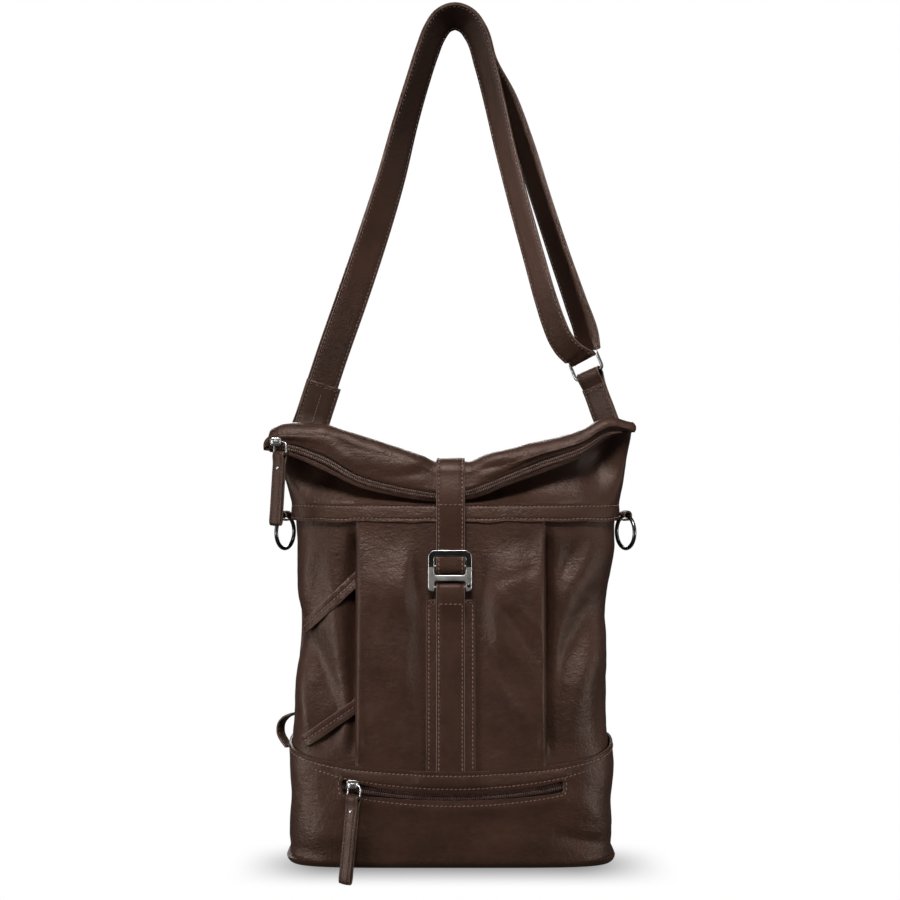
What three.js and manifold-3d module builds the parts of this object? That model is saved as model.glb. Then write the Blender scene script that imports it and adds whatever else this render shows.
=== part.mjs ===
// A leather roll-top bag hanging by its long doubled shoulder strap.
// Millimetres, +Z up, front towards -Y, origin at the hang point under the top of the strap.
import * as THREE from "three";
import { mergeVertices } from "three/addons/utils/BufferGeometryUtils.js";
import Module from "manifold-3d";

const wasm = await Module();
wasm.setup();

// Leather thickness, clearances between layers and round bars, and the strap
const LEATHER = 2.2;
const GAP = 0.6;
const BAR_PLAY = 0.4;
const WIRE_PLAY = 0.85;
const SLIDE_PLAY = 1.3;
const FOLD_PLAY = 0.2;
const STRAP_WIDTH = 30;
const AROUND = 48;

// Heights of the shell
const HEM_BOTTOM = -502;
const HEM_TOP = -484;
const WALL_TOP = -492;
const BOOT_SIDE_TOP = -718;
const BOOT_FRONT_DIP = 25;
const BOOT_OVERLAP = 9;
const BASE_Z = -837;
const BASE_ROUND = 13;

// Shell outline at each height: half widths, half depths and squareness
const SECTIONS = [
  { z: -480, left: 158, right: 163, front: 43, back: 28, power: 2.7 },
  { z: -532, left: 155, right: 159, front: 47, back: 36, power: 2.9 },
  { z: -602, left: 152, right: 151, front: 53, back: 46, power: 3.3 },
  { z: -682, left: 157, right: 154, front: 58, back: 54, power: 4.0 },
  { z: -742, left: 160, right: 155, front: 61, back: 58, power: 4.6 },
  { z: -837, left: 161, right: 157, front: 62, back: 60, power: 5.0 },
];

// Raised panel of the front
const PANEL = { left: -95, right: 90.5 };

// Folds of the wall, as strokes seen from the front: ends, height of the fold and its reach
const FOLDS = [
  { name: "left crease", from: [-146, -604], to: [-118, -690], rise: -5, reach: 15 },
  { name: "left ridge", from: [-128, -540], to: [-112, -640], rise: 3, reach: 16 },
  { name: "right ridge", from: [146, -520], to: [104, -584], rise: 4, reach: 14 },
  { name: "right hollow", from: [140, -566], to: [112, -640], rise: -5, reach: 16 },
  { name: "right low ridge", from: [140, -628], to: [124, -690], rise: 3.5, reach: 13 },
];

// The rolled top by place across: crest, forward lean, and the two lips of the zipped mouth
const ROLL = [
  { x: -188, crest: -417, lean: -18, upper: -428, lower: -440 },
  { x: -165, crest: -405, lean: -18, upper: -421, lower: -444 },
  { x: -130, crest: -405, lean: -18, upper: -433, lower: -454 },
  { x: -90, crest: -418, lean: -21, upper: -454, lower: -470 },
  { x: -42, crest: -433, lean: -25, upper: -466, lower: -478 },
  { x: -29, crest: -443, lean: -28, upper: -470, lower: -481 },
  { x: 25, crest: -443, lean: -28, upper: -465, lower: -478 },
  { x: 38, crest: -434, lean: -27, upper: -458, lower: -472 },
  { x: 80, crest: -424, lean: -22, upper: -441, lower: -457 },
  { x: 125, crest: -411, lean: -18, upper: -423, lower: -440 },
  { x: 155, crest: -400, lean: -16, upper: -411, lower: -427 },
  { x: 176, crest: -405, lean: -16, upper: -412, lower: -421 },
];
const ROLL_RADIUS = 8.5;
const FLAP_HALF = 5.5;
const FLAP_TILT = 0.25;
const MOUTH_LEFT = 186;
const MOUTH_RIGHT = 175;
const MOUTH_POWER = 4;
const CREST_LEFT = 178;
const CREST_RIGHT = 177;

// Shoulder strap, up the left, over the top and down the front strand.
// Turn is how far the outer edge swings towards the front, in degrees.
const STRAND_IN = [
  { x: -139, y: 0.5, z: -396, turn: 0 },
  { x: -121.5, y: 1, z: -342, turn: 0 },
  { x: -100.5, y: 1.5, z: -282, turn: 5 },
  { x: -80.5, y: 1.5, z: -222, turn: 15 },
  { x: -62, y: 1, z: -162, turn: 28 },
  { x: -46, y: 1, z: -102, turn: 42 },
  { x: -34, y: 0, z: -62, turn: 47 },
  { x: -25, y: 0, z: -34, turn: 47 },
  { x: -17, y: 0, z: -14, turn: 46 },
  { x: -9, y: 0, z: -3, turn: 44 },
  { x: 2, y: 0, z: 1.1, turn: 43 },
  { x: 13, y: 0, z: -3, turn: 44 },
  { x: 22, y: 0, z: -15, turn: 46 },
  { x: 32, y: 0, z: -46, turn: 48 },
  { x: 42, y: 0, z: -86, turn: 50 },
  { x: 50, y: -2, z: -122, turn: 51 },
  { x: 65, y: -3, z: -182, turn: 51 },
  { x: 81.5, y: -2, z: -242, turn: 49 },
  { x: 93, y: 0, z: -282, turn: 46 },
  { x: 101, y: 2, z: -306, turn: 43 },
  { x: 111, y: 4, z: -326, turn: 40 },
];
// The back strand, from the rectangular ring up to the top
const STRAND_OUT = [
  { x: 135.5, y: 14, z: -320, turn: 40 },
  { x: 123, y: 14, z: -282, turn: 46 },
  { x: 109, y: 12, z: -242, turn: 50 },
  { x: 89, y: 9, z: -182, turn: 52 },
  { x: 69.5, y: 6, z: -122, turn: 51 },
  { x: 54, y: 4, z: -82, turn: 50 },
];
const STRAND_TOP_COUNT = 14;
const LAYER_STEP = LEATHER + 0.5;

// Rectangular ring in the strap's bight
const SLIDE_AT = new THREE.Vector3(130, 9, -338.5);
const SLIDE_ACROSS = new THREE.Vector3(0.72, -0.58, 0.38).normalize();
const SLIDE_DOWN = new THREE.Vector3(0.37, -0.14, -0.92);
const SLIDE_WIDTH = 34.5;
const SLIDE_DROP = 19;
const SLIDE_WIRE = 1.6;

// Colours and finishes
const leather = new THREE.MeshStandardMaterial({ color: 0x4a362d, roughness: 0.55, metalness: 0 });
const tape = new THREE.MeshStandardMaterial({ color: 0x35231c, roughness: 0.8, metalness: 0 });
const blackNickel = new THREE.MeshStandardMaterial({ color: 0x3c3b3a, roughness: 0.22, metalness: 1 });
const nickel = new THREE.MeshStandardMaterial({ color: 0xb9b7b2, roughness: 0.25, metalness: 1 });

const bag = new THREE.Group();

function addPiece(name, geometry, material) {
  const piece = new THREE.Mesh(geometry, material);
  piece.name = name;
  bag.add(piece);
  return piece;
}

// Value of one column of a table, read along a straight line between its rows
function column(table, key, place, name) {
  const order = Math.sign(table[table.length - 1][key] - table[0][key]);
  let row = 0;
  while (row < table.length - 2 && order * (place - table[row + 1][key]) > 0) row += 1;
  const low = table[row];
  const high = table[row + 1];
  const share = THREE.MathUtils.clamp((place - low[key]) / (high[key] - low[key]), 0, 1);
  return THREE.MathUtils.lerp(low[name], high[name], share);
}

// A closed skin through rings of points. Its ends are capped from a hub, or across a flat strip
// whose ring runs out along one face and back along the other, or it closes on itself.
// From the row named turnFrom on, the squares of the skin are split along their other diagonal.
const ENDS = { hub: "hub", strip: "strip", closed: "closed" };

function loft(rings, ends = ENDS.hub, turnFrom = Infinity) {
  const count = rings[0].length;
  const places = rings.flat();
  const faces = [];
  const last = ends === ENDS.closed ? rings.length : rings.length - 1;
  for (let r = 0; r < last; r += 1) {
    const below = r * count;
    const above = ((r + 1) % rings.length) * count;
    for (let i = 0; i < count; i += 1) {
      const next = (i + 1) % count;
      const [a, b, c, d] = [below + i, below + next, above + next, above + i];
      faces.push(...(r < turnFrom ? [[a, b, c], [a, c, d]] : [[a, b, d], [b, c, d]]));
    }
  }
  const caps = ends === ENDS.closed ? [] : [[0, true], [(rings.length - 1) * count, false]];
  for (const [start, turned] of caps) {
    const cap = ends === ENDS.hub ? hubCap(places, start, count) : stripCap(start, count);
    faces.push(...cap.map(([a, b, c]) => (turned ? [a, c, b] : [a, b, c])));
  }
  return skin(places, faces);
}

function hubCap(places, start, count) {
  const middle = new THREE.Vector3();
  for (let i = 0; i < count; i += 1) middle.addScaledVector(places[start + i], 1 / count);
  places.push(middle);
  const hub = places.length - 1;
  return Array.from({ length: count }, (_, i) => [hub, start + i, start + ((i + 1) % count)]);
}

function stripCap(start, count) {
  const faces = [];
  for (let i = 0; i < count / 2 - 1; i += 1) {
    const far = start + count - 1 - i;
    faces.push([start + i, start + i + 1, far - 1], [start + i, far - 1, far]);
  }
  return faces;
}

// Geometry from points and triangles, turned so that its faces point out
function skin(places, faces) {
  let volume = 0;
  for (const [a, b, c] of faces) {
    volume += places[a].dot(new THREE.Vector3().crossVectors(places[b], places[c]));
  }
  const index = volume < 0 ? faces.map(([a, b, c]) => [a, c, b]) : faces;
  const geometry = new THREE.BufferGeometry().setFromPoints(places);
  geometry.setIndex(index.flat());
  geometry.computeVertexNormals();
  return geometry;
}

// Solid for joining and cutting
function solid(geometry) {
  const bare = geometry.clone();
  bare.deleteAttribute("normal");
  bare.deleteAttribute("uv");
  const merged = mergeVertices(bare, 1e-3);
  const vertProperties = new Float32Array(merged.attributes.position.array);
  const triVerts = new Uint32Array(merged.index.array);
  return new wasm.Manifold(new wasm.Mesh({ numProp: 3, vertProperties, triVerts }));
}

function fromSolid(made) {
  const mesh = made.getMesh();
  const geometry = new THREE.BufferGeometry();
  geometry.setAttribute("position", new THREE.BufferAttribute(mesh.vertProperties, 3));
  geometry.setIndex(new THREE.BufferAttribute(mesh.triVerts, 1));
  geometry.computeVertexNormals();
  return geometry;
}

// A flat path moved sideways to its left, keeping its distance at the bends
function offsetPath(path, distance) {
  return path.map((point, i) => {
    const before = path[Math.max(i - 1, 0)];
    const after = path[Math.min(i + 1, path.length - 1)];
    const arrive = new THREE.Vector2().subVectors(i > 0 ? point : after, before).normalize();
    const leave = new THREE.Vector2().subVectors(after, i < path.length - 1 ? point : before).normalize();
    const along = arrive.clone().add(leave).normalize();
    const side = new THREE.Vector2(-along.y, along.x);
    return point.clone().addScaledVector(side, distance / along.dot(arrive));
  });
}

// A flat band of leather bent along a path in one plane, extruded across its width.
// The path is in (depth, height); the extrusion runs along the basis' first axis.
function bentBand(path, thickness, width) {
  const left = offsetPath(path, thickness / 2);
  const right = offsetPath(path, -thickness / 2).reverse();
  const shape = new THREE.Shape([...left, ...right]);
  const band = new THREE.ExtrudeGeometry(shape, { depth: width, bevelEnabled: false });
  band.translate(0, 0, -width / 2);
  // Extruded (depth, height, width) becomes (width, depth, height)
  band.applyMatrix4(new THREE.Matrix4().makeBasis(
    new THREE.Vector3(0, 1, 0), new THREE.Vector3(0, 0, 1), new THREE.Vector3(1, 0, 0)));
  return band;
}

// A round wire along a closed flat loop of points in the plane of two axes
function wireLoop(points, axis, radius, sides) {
  const rings = points.map((point, i) => {
    const before = points[(i + points.length - 1) % points.length];
    const after = points[(i + 1) % points.length];
    const along = new THREE.Vector3().subVectors(after, before).normalize();
    const out = new THREE.Vector3().crossVectors(along, axis);
    return Array.from({ length: sides }, (_, k) => {
      const angle = (k / sides) * Math.PI * 2;
      return point.clone()
        .addScaledVector(out, Math.cos(angle) * radius)
        .addScaledVector(axis, Math.sin(angle) * radius);
    });
  });
  return loft(rings, ENDS.closed);
}

// Corners of a rounded rectangle, each corner cut into a few points
function roundedLoop(width, height, corner, steps) {
  const points = [];
  for (let quarter = 0; quarter < 4; quarter += 1) {
    const x = (quarter === 0 || quarter === 3 ? 1 : -1) * (width / 2 - corner);
    const y = (quarter < 2 ? 1 : -1) * (height / 2 - corner);
    for (let i = 0; i <= steps; i += 1) {
      const angle = (quarter + i / steps) * Math.PI / 2;
      points.push(new THREE.Vector2(x + Math.cos(angle) * corner, y + Math.sin(angle) * corner));
    }
  }
  return points;
}

// Angles that cut a quarter of the typical shell outline into equal lengths
function evenAngles(count) {
  const steps = 400;
  const typical = { wide: 160, deep: 58, power: 3.6 };
  const lengths = [0];
  let last = new THREE.Vector2(0, typical.deep);
  for (let i = 1; i <= steps; i += 1) {
    const angle = (i / steps) * Math.PI / 2;
    const x = typical.wide * Math.sin(angle) ** (2 / typical.power);
    const y = typical.deep * Math.max(Math.cos(angle), 0) ** (2 / typical.power);
    const here = new THREE.Vector2(x, y);
    lengths.push(lengths[i - 1] + here.distanceTo(last));
    last = here;
  }
  return Array.from({ length: count }, (_, k) => {
    const wanted = lengths[steps] * k / count;
    const step = lengths.findIndex((length) => length >= wanted);
    return (step / steps) * Math.PI / 2;
  });
}
const QUARTER = evenAngles(AROUND / 4);

// Unit outline of squareness power: four quarters from front centre to right, back and left
function unitOutline(power) {
  const places = [];
  for (let quarter = 0; quarter < 4; quarter += 1) {
    for (let k = 0; k < QUARTER.length; k += 1) {
      const mirrored = quarter % 2 === 1;
      const angle = mirrored ? (k === 0 ? Math.PI / 2 : QUARTER[QUARTER.length - k]) : QUARTER[k];
      const x = Math.sin(angle) ** (2 / power) * (quarter < 2 ? 1 : -1);
      const y = Math.max(Math.cos(angle), 0) ** (2 / power) * (quarter === 0 || quarter === 3 ? -1 : 1);
      places.push(new THREE.Vector2(x, y));
    }
  }
  return places;
}

function sectionAt(z) {
  const at = (name) => column(SECTIONS, "z", z, name);
  return { left: at("left"), right: at("right"), front: at("front"), back: at("back"), power: at("power") };
}

// Front face of the shell at a place across and a height
function frontY(x, z) {
  const section = sectionAt(z);
  const share = Math.min(Math.abs(x) / (x < 0 ? section.left : section.right), 1);
  return -section.front * (1 - share ** section.power) ** (1 / section.power);
}

// Height of a fold at a place on the front of the wall
function foldRise(x, z) {
  let rise = 0;
  const place = new THREE.Vector2(x, z);
  for (const fold of FOLDS) {
    const start = new THREE.Vector2(...fold.from);
    const run = new THREE.Vector2(...fold.to).sub(start);
    const share = THREE.MathUtils.clamp(place.clone().sub(start).dot(run) / run.lengthSq(), 0, 1);
    const away = start.addScaledVector(run, share).distanceTo(place) / fold.reach;
    rise += fold.rise * Math.exp(-away * away);
  }
  const besidePanel = THREE.MathUtils.smoothstep(Math.max(PANEL.left - x, x - PANEL.right), 14, 28);
  const underHem = THREE.MathUtils.smoothstep(HEM_BOTTOM - z, 2, 30);
  const overBoot = THREE.MathUtils.smoothstep(z - BOOT_SIDE_TOP, 0, 30);
  return rise * besidePanel * underHem * overBoot;
}

// A point of the shell outline, grown outwards, at a height given for each place across
function shellRing(heightAt, grow, folded) {
  const nominal = unitOutline(SECTIONS[4].power);
  return nominal.map((typical, i) => {
    const z = heightAt(typical);
    const section = sectionAt(z);
    const unit = unitOutline(section.power)[i];
    const x = unit.x * ((unit.x < 0 ? section.left : section.right) + grow);
    const y = unit.y * ((unit.y < 0 ? section.front : section.back) + grow);
    const rise = folded && y < 0 ? foldRise(x, z) : 0;
    const out = new THREE.Vector2(
      Math.sign(x) * Math.abs(unit.x) ** (section.power - 1) / section.left,
      Math.sign(y) * Math.abs(unit.y) ** (section.power - 1) / section.front).normalize();
    return new THREE.Vector3(x + out.x * rise, y + out.y * rise, z);
  });
}

// The boot's upper edge dips at the front
function bootTop(unit) {
  const dip = unit.y < 0 ? Math.sqrt(Math.max(1 - unit.x * unit.x, 0)) : 0;
  return BOOT_SIDE_TOP - BOOT_FRONT_DIP * dip;
}

// Wall between hem and boot
function bodyWall() {
  const rows = 9;
  const ring = (row, grow) => {
    const share = row / rows;
    const height = (unit) => THREE.MathUtils.lerp(WALL_TOP, bootTop(unit) - BOOT_OVERLAP, share);
    return shellRing(height, grow, true);
  };
  const outer = Array.from({ length: rows + 1 }, (_, row) => ring(row, 0));
  const inner = Array.from({ length: rows + 1 }, (_, row) => ring(rows - row, -LEATHER));
  return loft([...outer, ...inner], ENDS.closed);
}
addPiece("body_wall", bodyWall(), leather);

// Boot: a cup with a rounded foot, its walls outside the body wall
const BOOT_IN = 2 * GAP;
const BOOT_OUT = BOOT_IN + LEATHER;
const POCKET = { left: -106, right: 105, below: 21, sag: 4, half: 4.2 };

function bootRings(grow, floor) {
  const foot = [90, 60, 30, 0].map((turn) => {
    const angle = THREE.MathUtils.degToRad(turn);
    const inset = BASE_ROUND * (1 - Math.cos(angle));
    return shellRing(() => floor + BASE_ROUND * (1 - Math.sin(angle)), grow - inset, false);
  });
  const wall = [0.33, 0.67, 1].map((share) => {
    return shellRing((unit) => THREE.MathUtils.lerp(floor + BASE_ROUND, bootTop(unit), share), grow, false);
  });
  return [...foot, ...wall];
}

// Strip that follows the front of the boot below its edge, for the pocket's slot and its zip
function pocketStrip(half, reach, inner, outer) {
  const steps = 20;
  const rings = [];
  for (let i = 0; i <= steps; i += 1) {
    const x = THREE.MathUtils.lerp(POCKET.left - reach, POCKET.right + reach, i / steps);
    const z = pocketZ(x);
    const corners = [[inner, half], [outer, half], [outer, -half], [inner, -half]];
    rings.push(corners.map(([grow, up]) => new THREE.Vector3(x, frontY(x, z) - grow, z + up)));
  }
  return loft(rings, ENDS.strip);
}

function pocketZ(x) {
  return bootTop({ x: x / SECTIONS[4].left, y: -1 }) - POCKET.below - POCKET.sag * (1 - (x / POCKET.left) ** 2);
}

const bootShell = loft([...bootRings(BOOT_OUT, BASE_Z), ...bootRings(BOOT_IN, BASE_Z + LEATHER).reverse()]);
const pocketSlot = pocketStrip(POCKET.half, 0, -6, 12);
addPiece("base_boot", fromSolid(solid(bootShell).subtract(solid(pocketSlot))), leather);

// Rolled top: a flattened tube that rises from the hem, turns forward over the crest and hangs to its mouth
const ROLL_ROWS = [
  { kind: "hem", z: HEM_BOTTOM },
  { kind: "hem", z: HEM_TOP },
  { kind: "rise", share: 0.3 },
  { kind: "rise", share: 0.6 },
  { kind: "rise", share: 0.85 },
  { kind: "turn", degrees: 0 },
  { kind: "turn", degrees: 45 },
  { kind: "turn", degrees: 90 },
  { kind: "turn", degrees: 135 },
  { kind: "turn", degrees: 180 },
  { kind: "flap", share: 0.5 },
  { kind: "flap", share: 1 },
];

const rollAt = (x, name) => column(ROLL, "x", x, name);

// How full the flattened tube is at a place across: 1 in the middle, 0 at its ends
function fullness(x, left, right, power) {
  const share = Math.min(Math.abs(x) / (x < 0 ? left : right), 1);
  return (1 - share ** power) ** (1 / power);
}

// Height at which the turn over the crest begins and ends
function turnBase(x) {
  return rollAt(x, "crest") - ROLL_RADIUS - FLAP_HALF * fullness(x, CREST_LEFT, CREST_RIGHT, MOUTH_POWER);
}

// A point of the turn or the flap, side being the distance from the middle of the tube, outer side positive
function turnPoint(x, degrees, side) {
  const angle = THREE.MathUtils.degToRad(degrees);
  const y = rollAt(x, "lean") - ROLL_RADIUS + (ROLL_RADIUS + side) * Math.cos(angle);
  return new THREE.Vector3(x, y, turnBase(x) + (ROLL_RADIUS + side) * Math.sin(angle));
}

function flapPoint(x, share, side) {
  const base = turnBase(x);
  const slant = THREE.MathUtils.clamp(side / FLAP_HALF, -1, 1) / 2 + 0.5;
  const lip = THREE.MathUtils.lerp(rollAt(x, "lower"), Math.min(rollAt(x, "upper"), base - 2), slant);
  const drop = (base - lip) * share;
  return new THREE.Vector3(x, rollAt(x, "lean") - 2 * ROLL_RADIUS - FLAP_TILT * drop - side, base - drop);
}

function rollRing(row, inset) {
  if (row.kind === "hem") return shellRing(() => row.z, BOOT_OUT - inset, false);
  const hem = sectionAt(HEM_TOP);
  const share = row.kind === "rise" ? row.share : 1;
  const flapShare = row.kind === "flap" ? row.share : 0;
  const mix = THREE.MathUtils.lerp;
  const left = mix(mix(hem.left + BOOT_OUT, CREST_LEFT, share), MOUTH_LEFT, flapShare) - inset;
  const right = mix(mix(hem.right + BOOT_OUT, CREST_RIGHT, share), MOUTH_RIGHT, flapShare) - inset;
  const front = mix(hem.front + BOOT_OUT, FLAP_HALF, share) - inset;
  const back = mix(hem.back + BOOT_OUT, FLAP_HALF, share) - inset;
  return unitOutline(mix(hem.power, MOUTH_POWER, share)).map((unit) => {
    const x = unit.x * (unit.x < 0 ? left : right);
    const side = unit.y * (unit.y < 0 ? front : back);
    if (row.kind === "turn") return turnPoint(x, row.degrees, side);
    if (row.kind === "flap") return flapPoint(x, row.share, side);
    return new THREE.Vector3(x, rollAt(x, "lean") * share + side, mix(HEM_TOP, turnBase(x), share));
  });
}

const rollOuter = ROLL_ROWS.map((row) => rollRing(row, 0));
const rollInner = ROLL_ROWS.map((row) => rollRing(row, LEATHER)).reverse();
addPiece("roll_top", loft([...rollOuter, ...rollInner], ENDS.closed), leather);

// Plates that lie on the front of the shell between two outlines
function frontPlate(left, right, topAt, bottomAt, layer, steps, rows) {
  const face = (grow, row) => {
    const line = [];
    for (let i = 0; i <= steps; i += 1) {
      const x = THREE.MathUtils.lerp(left, right, i / steps);
      const z = THREE.MathUtils.lerp(topAt(x), bottomAt(x), row / rows);
      line.push(new THREE.Vector3(x, frontY(x, z) - grow, z));
    }
    return line;
  };
  const rings = [];
  for (let row = 0; row <= rows; row += 1) {
    rings.push([...face(layer.out, row), ...face(layer.in, row).reverse()]);
  }
  return loft(rings, ENDS.strip);
}

const PANEL_LAYER = { in: 0.9, out: 2.5 };
const PATCH_LAYER = { in: 2.9, out: 4.1 };
const LOWER_LAYER = { in: 4.5, out: 6.3 };
const PATCH = { left: -26.5, right: 22, top: -577, corner: 6 };
const frontBootEdge = (x) => bootTop({ x: x / SECTIONS[4].left, y: -1 }) + GAP;
const panelTop = () => HEM_BOTTOM - GAP;
addPiece("front_panel",
  frontPlate(PANEL.left, PANEL.right, panelTop, frontBootEdge, PANEL_LAYER, 12, 9), leather);

function patchTop(x) {
  const near = Math.min(x - PATCH.left, PATCH.right - x, PATCH.corner);
  const inset = PATCH.corner - near;
  return PATCH.top - PATCH.corner + Math.sqrt(PATCH.corner ** 2 - inset ** 2);
}
addPiece("backing_patch",
  frontPlate(PATCH.left, PATCH.right, patchTop, frontBootEdge, PATCH_LAYER, 16, 6), leather);

// Slanted strips sewn left of the panel
const PLEAT_STRIPS = [
  { name: "pleat_strip_upper", low: [-143, -606], high: [-101, -561], width: 11, layer: [1.4, 3.2] },
  { name: "pleat_strip_lower", low: [-142, -716], high: [-101, -684], width: 11, layer: [1.4, 3.2] },
];
for (const strip of PLEAT_STRIPS) {
  const low = new THREE.Vector2(...strip.low);
  const high = new THREE.Vector2(...strip.high);
  const across = high.clone().sub(low).normalize().rotateAround(new THREE.Vector2(), Math.PI / 2);
  const steps = 6;
  const rings = [];
  for (let i = 0; i <= steps; i += 1) {
    const middle = low.clone().lerp(high, i / steps);
    const [under, over] = strip.layer;
    const corners = [[1, under], [1, over], [-1, over], [-1, under]];
    rings.push(corners.map(([side, grow]) => {
      const place = middle.clone().addScaledVector(across, side * strip.width / 2);
      const rise = foldRise(place.x, place.y);
      return new THREE.Vector3(place.x, frontY(place.x, place.y) - grow - Math.max(rise, 0), place.y);
    }));
  }
  addPiece(strip.name, loft(rings, ENDS.strip), leather);
}

// Buckle of the closure: frame with a window, a crossbar and two legs, and two bars that the straps loop
const BUCKLE = { x: -3, y: -60, thick: 4, top: -529, bottom: -569, width: 42.5, corner: 6 };
const BUCKLE_WINDOW = { width: 30.5, top: -535, bottom: -553.3, corner: 2.5 };
const BUCKLE_CROSSBAR_BOTTOM = -559;
const BAR_RADIUS = 1.5;
const UPPER_BAR_Z = -545;
const LOWER_BAR_Z = -565.5;
const BAR_Y = BUCKLE.y + 1;
const CLOSURE_WIDTH = 28;
const CLOSURE_X = -2.5;
const UPPER_STRAP = { thick: 2.2, startZ: -499 };

function placedLoop(width, top, bottom, corner) {
  const middle = (top + bottom) / 2;
  return roundedLoop(width, top - bottom, corner, 3).map((p) => new THREE.Vector2(p.x, p.y + middle));
}

function closureBuckle() {
  const outline = new THREE.Shape(placedLoop(BUCKLE.width, BUCKLE.top, BUCKLE.bottom, BUCKLE.corner));
  const window = BUCKLE_WINDOW;
  outline.holes.push(new THREE.Path(placedLoop(window.width, window.top, window.bottom, window.corner)));
  const frame = new THREE.ExtrudeGeometry(outline, { depth: BUCKLE.thick, bevelEnabled: false });
  frame.rotateX(Math.PI / 2).translate(BUCKLE.x, BUCKLE.y + BUCKLE.thick / 2, 0);
  const notchDrop = BUCKLE_CROSSBAR_BOTTOM - BUCKLE.bottom + BUCKLE.corner;
  const notch = new THREE.BoxGeometry(window.width, BUCKLE.thick * 3, notchDrop);
  notch.translate(BUCKLE.x, BUCKLE.y, BUCKLE_CROSSBAR_BOTTOM - notchDrop / 2);
  let made = solid(frame).subtract(solid(notch));
  for (const z of [UPPER_BAR_Z, LOWER_BAR_Z]) {
    const bar = new THREE.CylinderGeometry(BAR_RADIUS, BAR_RADIUS, window.width + 4, 10);
    bar.rotateZ(Math.PI / 2).translate(BUCKLE.x, BAR_Y, z);
    made = made.add(solid(bar));
  }
  return fromSolid(made);
}
addPiece("closure_buckle", closureBuckle(), blackNickel);

// Points round a bar in the plane across it, by angle from +depth towards +height
function roundBar(y, z, radius, fromDegrees, toDegrees, steps) {
  return Array.from({ length: steps + 1 }, (_, i) => {
    const angle = THREE.MathUtils.degToRad(THREE.MathUtils.lerp(fromDegrees, toDegrees, i / steps));
    return new THREE.Vector2(y + radius * Math.cos(angle), z + radius * Math.sin(angle));
  });
}

const inPlane = (point) => new THREE.Vector2(point.y, point.z);
const LOOP_RADIUS = BAR_RADIUS + BAR_PLAY + UPPER_STRAP.thick / 2;

// Upper strap: up the back of the roll, over its crest, down the flap and round the buckle's upper bar
function closureStrapUpper() {
  const hem = sectionAt(HEM_TOP);
  const lean = rollAt(CLOSURE_X, "lean");
  const back = [0, 0.3, 0.6, 0.85].map((share) => {
    const y = lean * share + THREE.MathUtils.lerp(hem.back + BOOT_OUT, FLAP_HALF, share);
    return new THREE.Vector2(y, THREE.MathUtils.lerp(HEM_TOP, turnBase(CLOSURE_X), share));
  });
  const start = new THREE.Vector2(sectionAt(UPPER_STRAP.startZ).back + BOOT_OUT, UPPER_STRAP.startZ);
  const turn = [0, 30, 60, 90, 120, 150, 180].map((degrees) => {
    return inPlane(turnPoint(CLOSURE_X, degrees, FLAP_HALF));
  });
  const flapEnd = inPlane(flapPoint(CLOSURE_X, 1, FLAP_HALF));
  const lift = GAP + 0.5 + UPPER_STRAP.thick / 2;
  const overRoll = offsetPath([start, ...back, ...turn, flapEnd], -lift);
  const behind = new THREE.Vector2(BAR_Y + LOOP_RADIUS, BUCKLE.top + 2);
  const loop = roundBar(BAR_Y, UPPER_BAR_Z, LOOP_RADIUS, 0, -180, 6);
  const tail = new THREE.Vector2(BAR_Y - LOOP_RADIUS, BUCKLE_WINDOW.top - 2.5);
  return bentBand([...overRoll, behind, ...loop, tail], UPPER_STRAP.thick, CLOSURE_WIDTH);
}
addPiece("closure_strap_upper", closureStrapUpper(), leather).position.x = CLOSURE_X;

// Lower strap: round the buckle's lower bar and down the patch to the boot
function closureStrapLower() {
  const thick = LOWER_LAYER.out - LOWER_LAYER.in;
  const middle = (LOWER_LAYER.in + LOWER_LAYER.out) / 2;
  const radius = BAR_RADIUS + BAR_PLAY + thick / 2;
  const tail = new THREE.Vector2(BAR_Y + radius, PATCH.top + 3);
  const loop = roundBar(BAR_Y, LOWER_BAR_Z, radius, 0, 180, 6);
  const down = [PATCH.top - 25, -640, -682, -712, frontBootEdge(0) + 0.4].map((z) => {
    return new THREE.Vector2(frontY(0, z) - middle, z);
  });
  return bentBand([tail, ...loop, ...down], thick, CLOSURE_WIDTH);
}
addPiece("closure_strap_lower", closureStrapLower(), leather).position.x = CLOSURE_X;

// Zip across the mouth: a tape between the lips with a coil standing proud along its middle
const ZIP = {
  left: -178, right: 166, recess: 0.3, tape: 1, coilHalf: 2.6, coilRise: 1.2, margin: 1.2,
  lowerTuck: 2.1, leastLow: 0.3,
};
function topZip() {
  const steps = 30;
  const rings = [];
  for (let i = 0; i <= steps; i += 1) {
    const x = THREE.MathUtils.lerp(ZIP.left, ZIP.right, i / steps);
    const full = fullness(x, MOUTH_LEFT - LEATHER, MOUTH_RIGHT - LEATHER, MOUTH_POWER);
    const inside = (FLAP_HALF - LEATHER) * full;
    const outer = flapPoint(x, 1, inside);
    const lower = flapPoint(x, 1, -inside);
    const along = lower.clone().sub(outer);
    const half = along.length() / 2 - ZIP.margin;
    along.normalize();
    const out = new THREE.Vector3(0, along.z, -along.y);
    const middle = outer.clone().add(lower).multiplyScalar(0.5).addScaledVector(out, -ZIP.recess);
    const low = Math.max(half - ZIP.lowerTuck, half * ZIP.leastLow);
    const coil = Math.min(ZIP.coilHalf, half * 0.5, low * 0.8);
    const section = [
      [-half, -ZIP.tape], [-half, 0], [-coil, 0], [-coil * 0.7, ZIP.coilRise],
      [coil * 0.7, ZIP.coilRise], [coil, 0], [low, 0], [low, -ZIP.tape],
    ];
    rings.push(section.map(([a, b]) => middle.clone().addScaledVector(along, a).addScaledVector(out, b)));
  }
  return loft(rings);
}
addPiece("top_zip", topZip(), tape);

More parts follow.
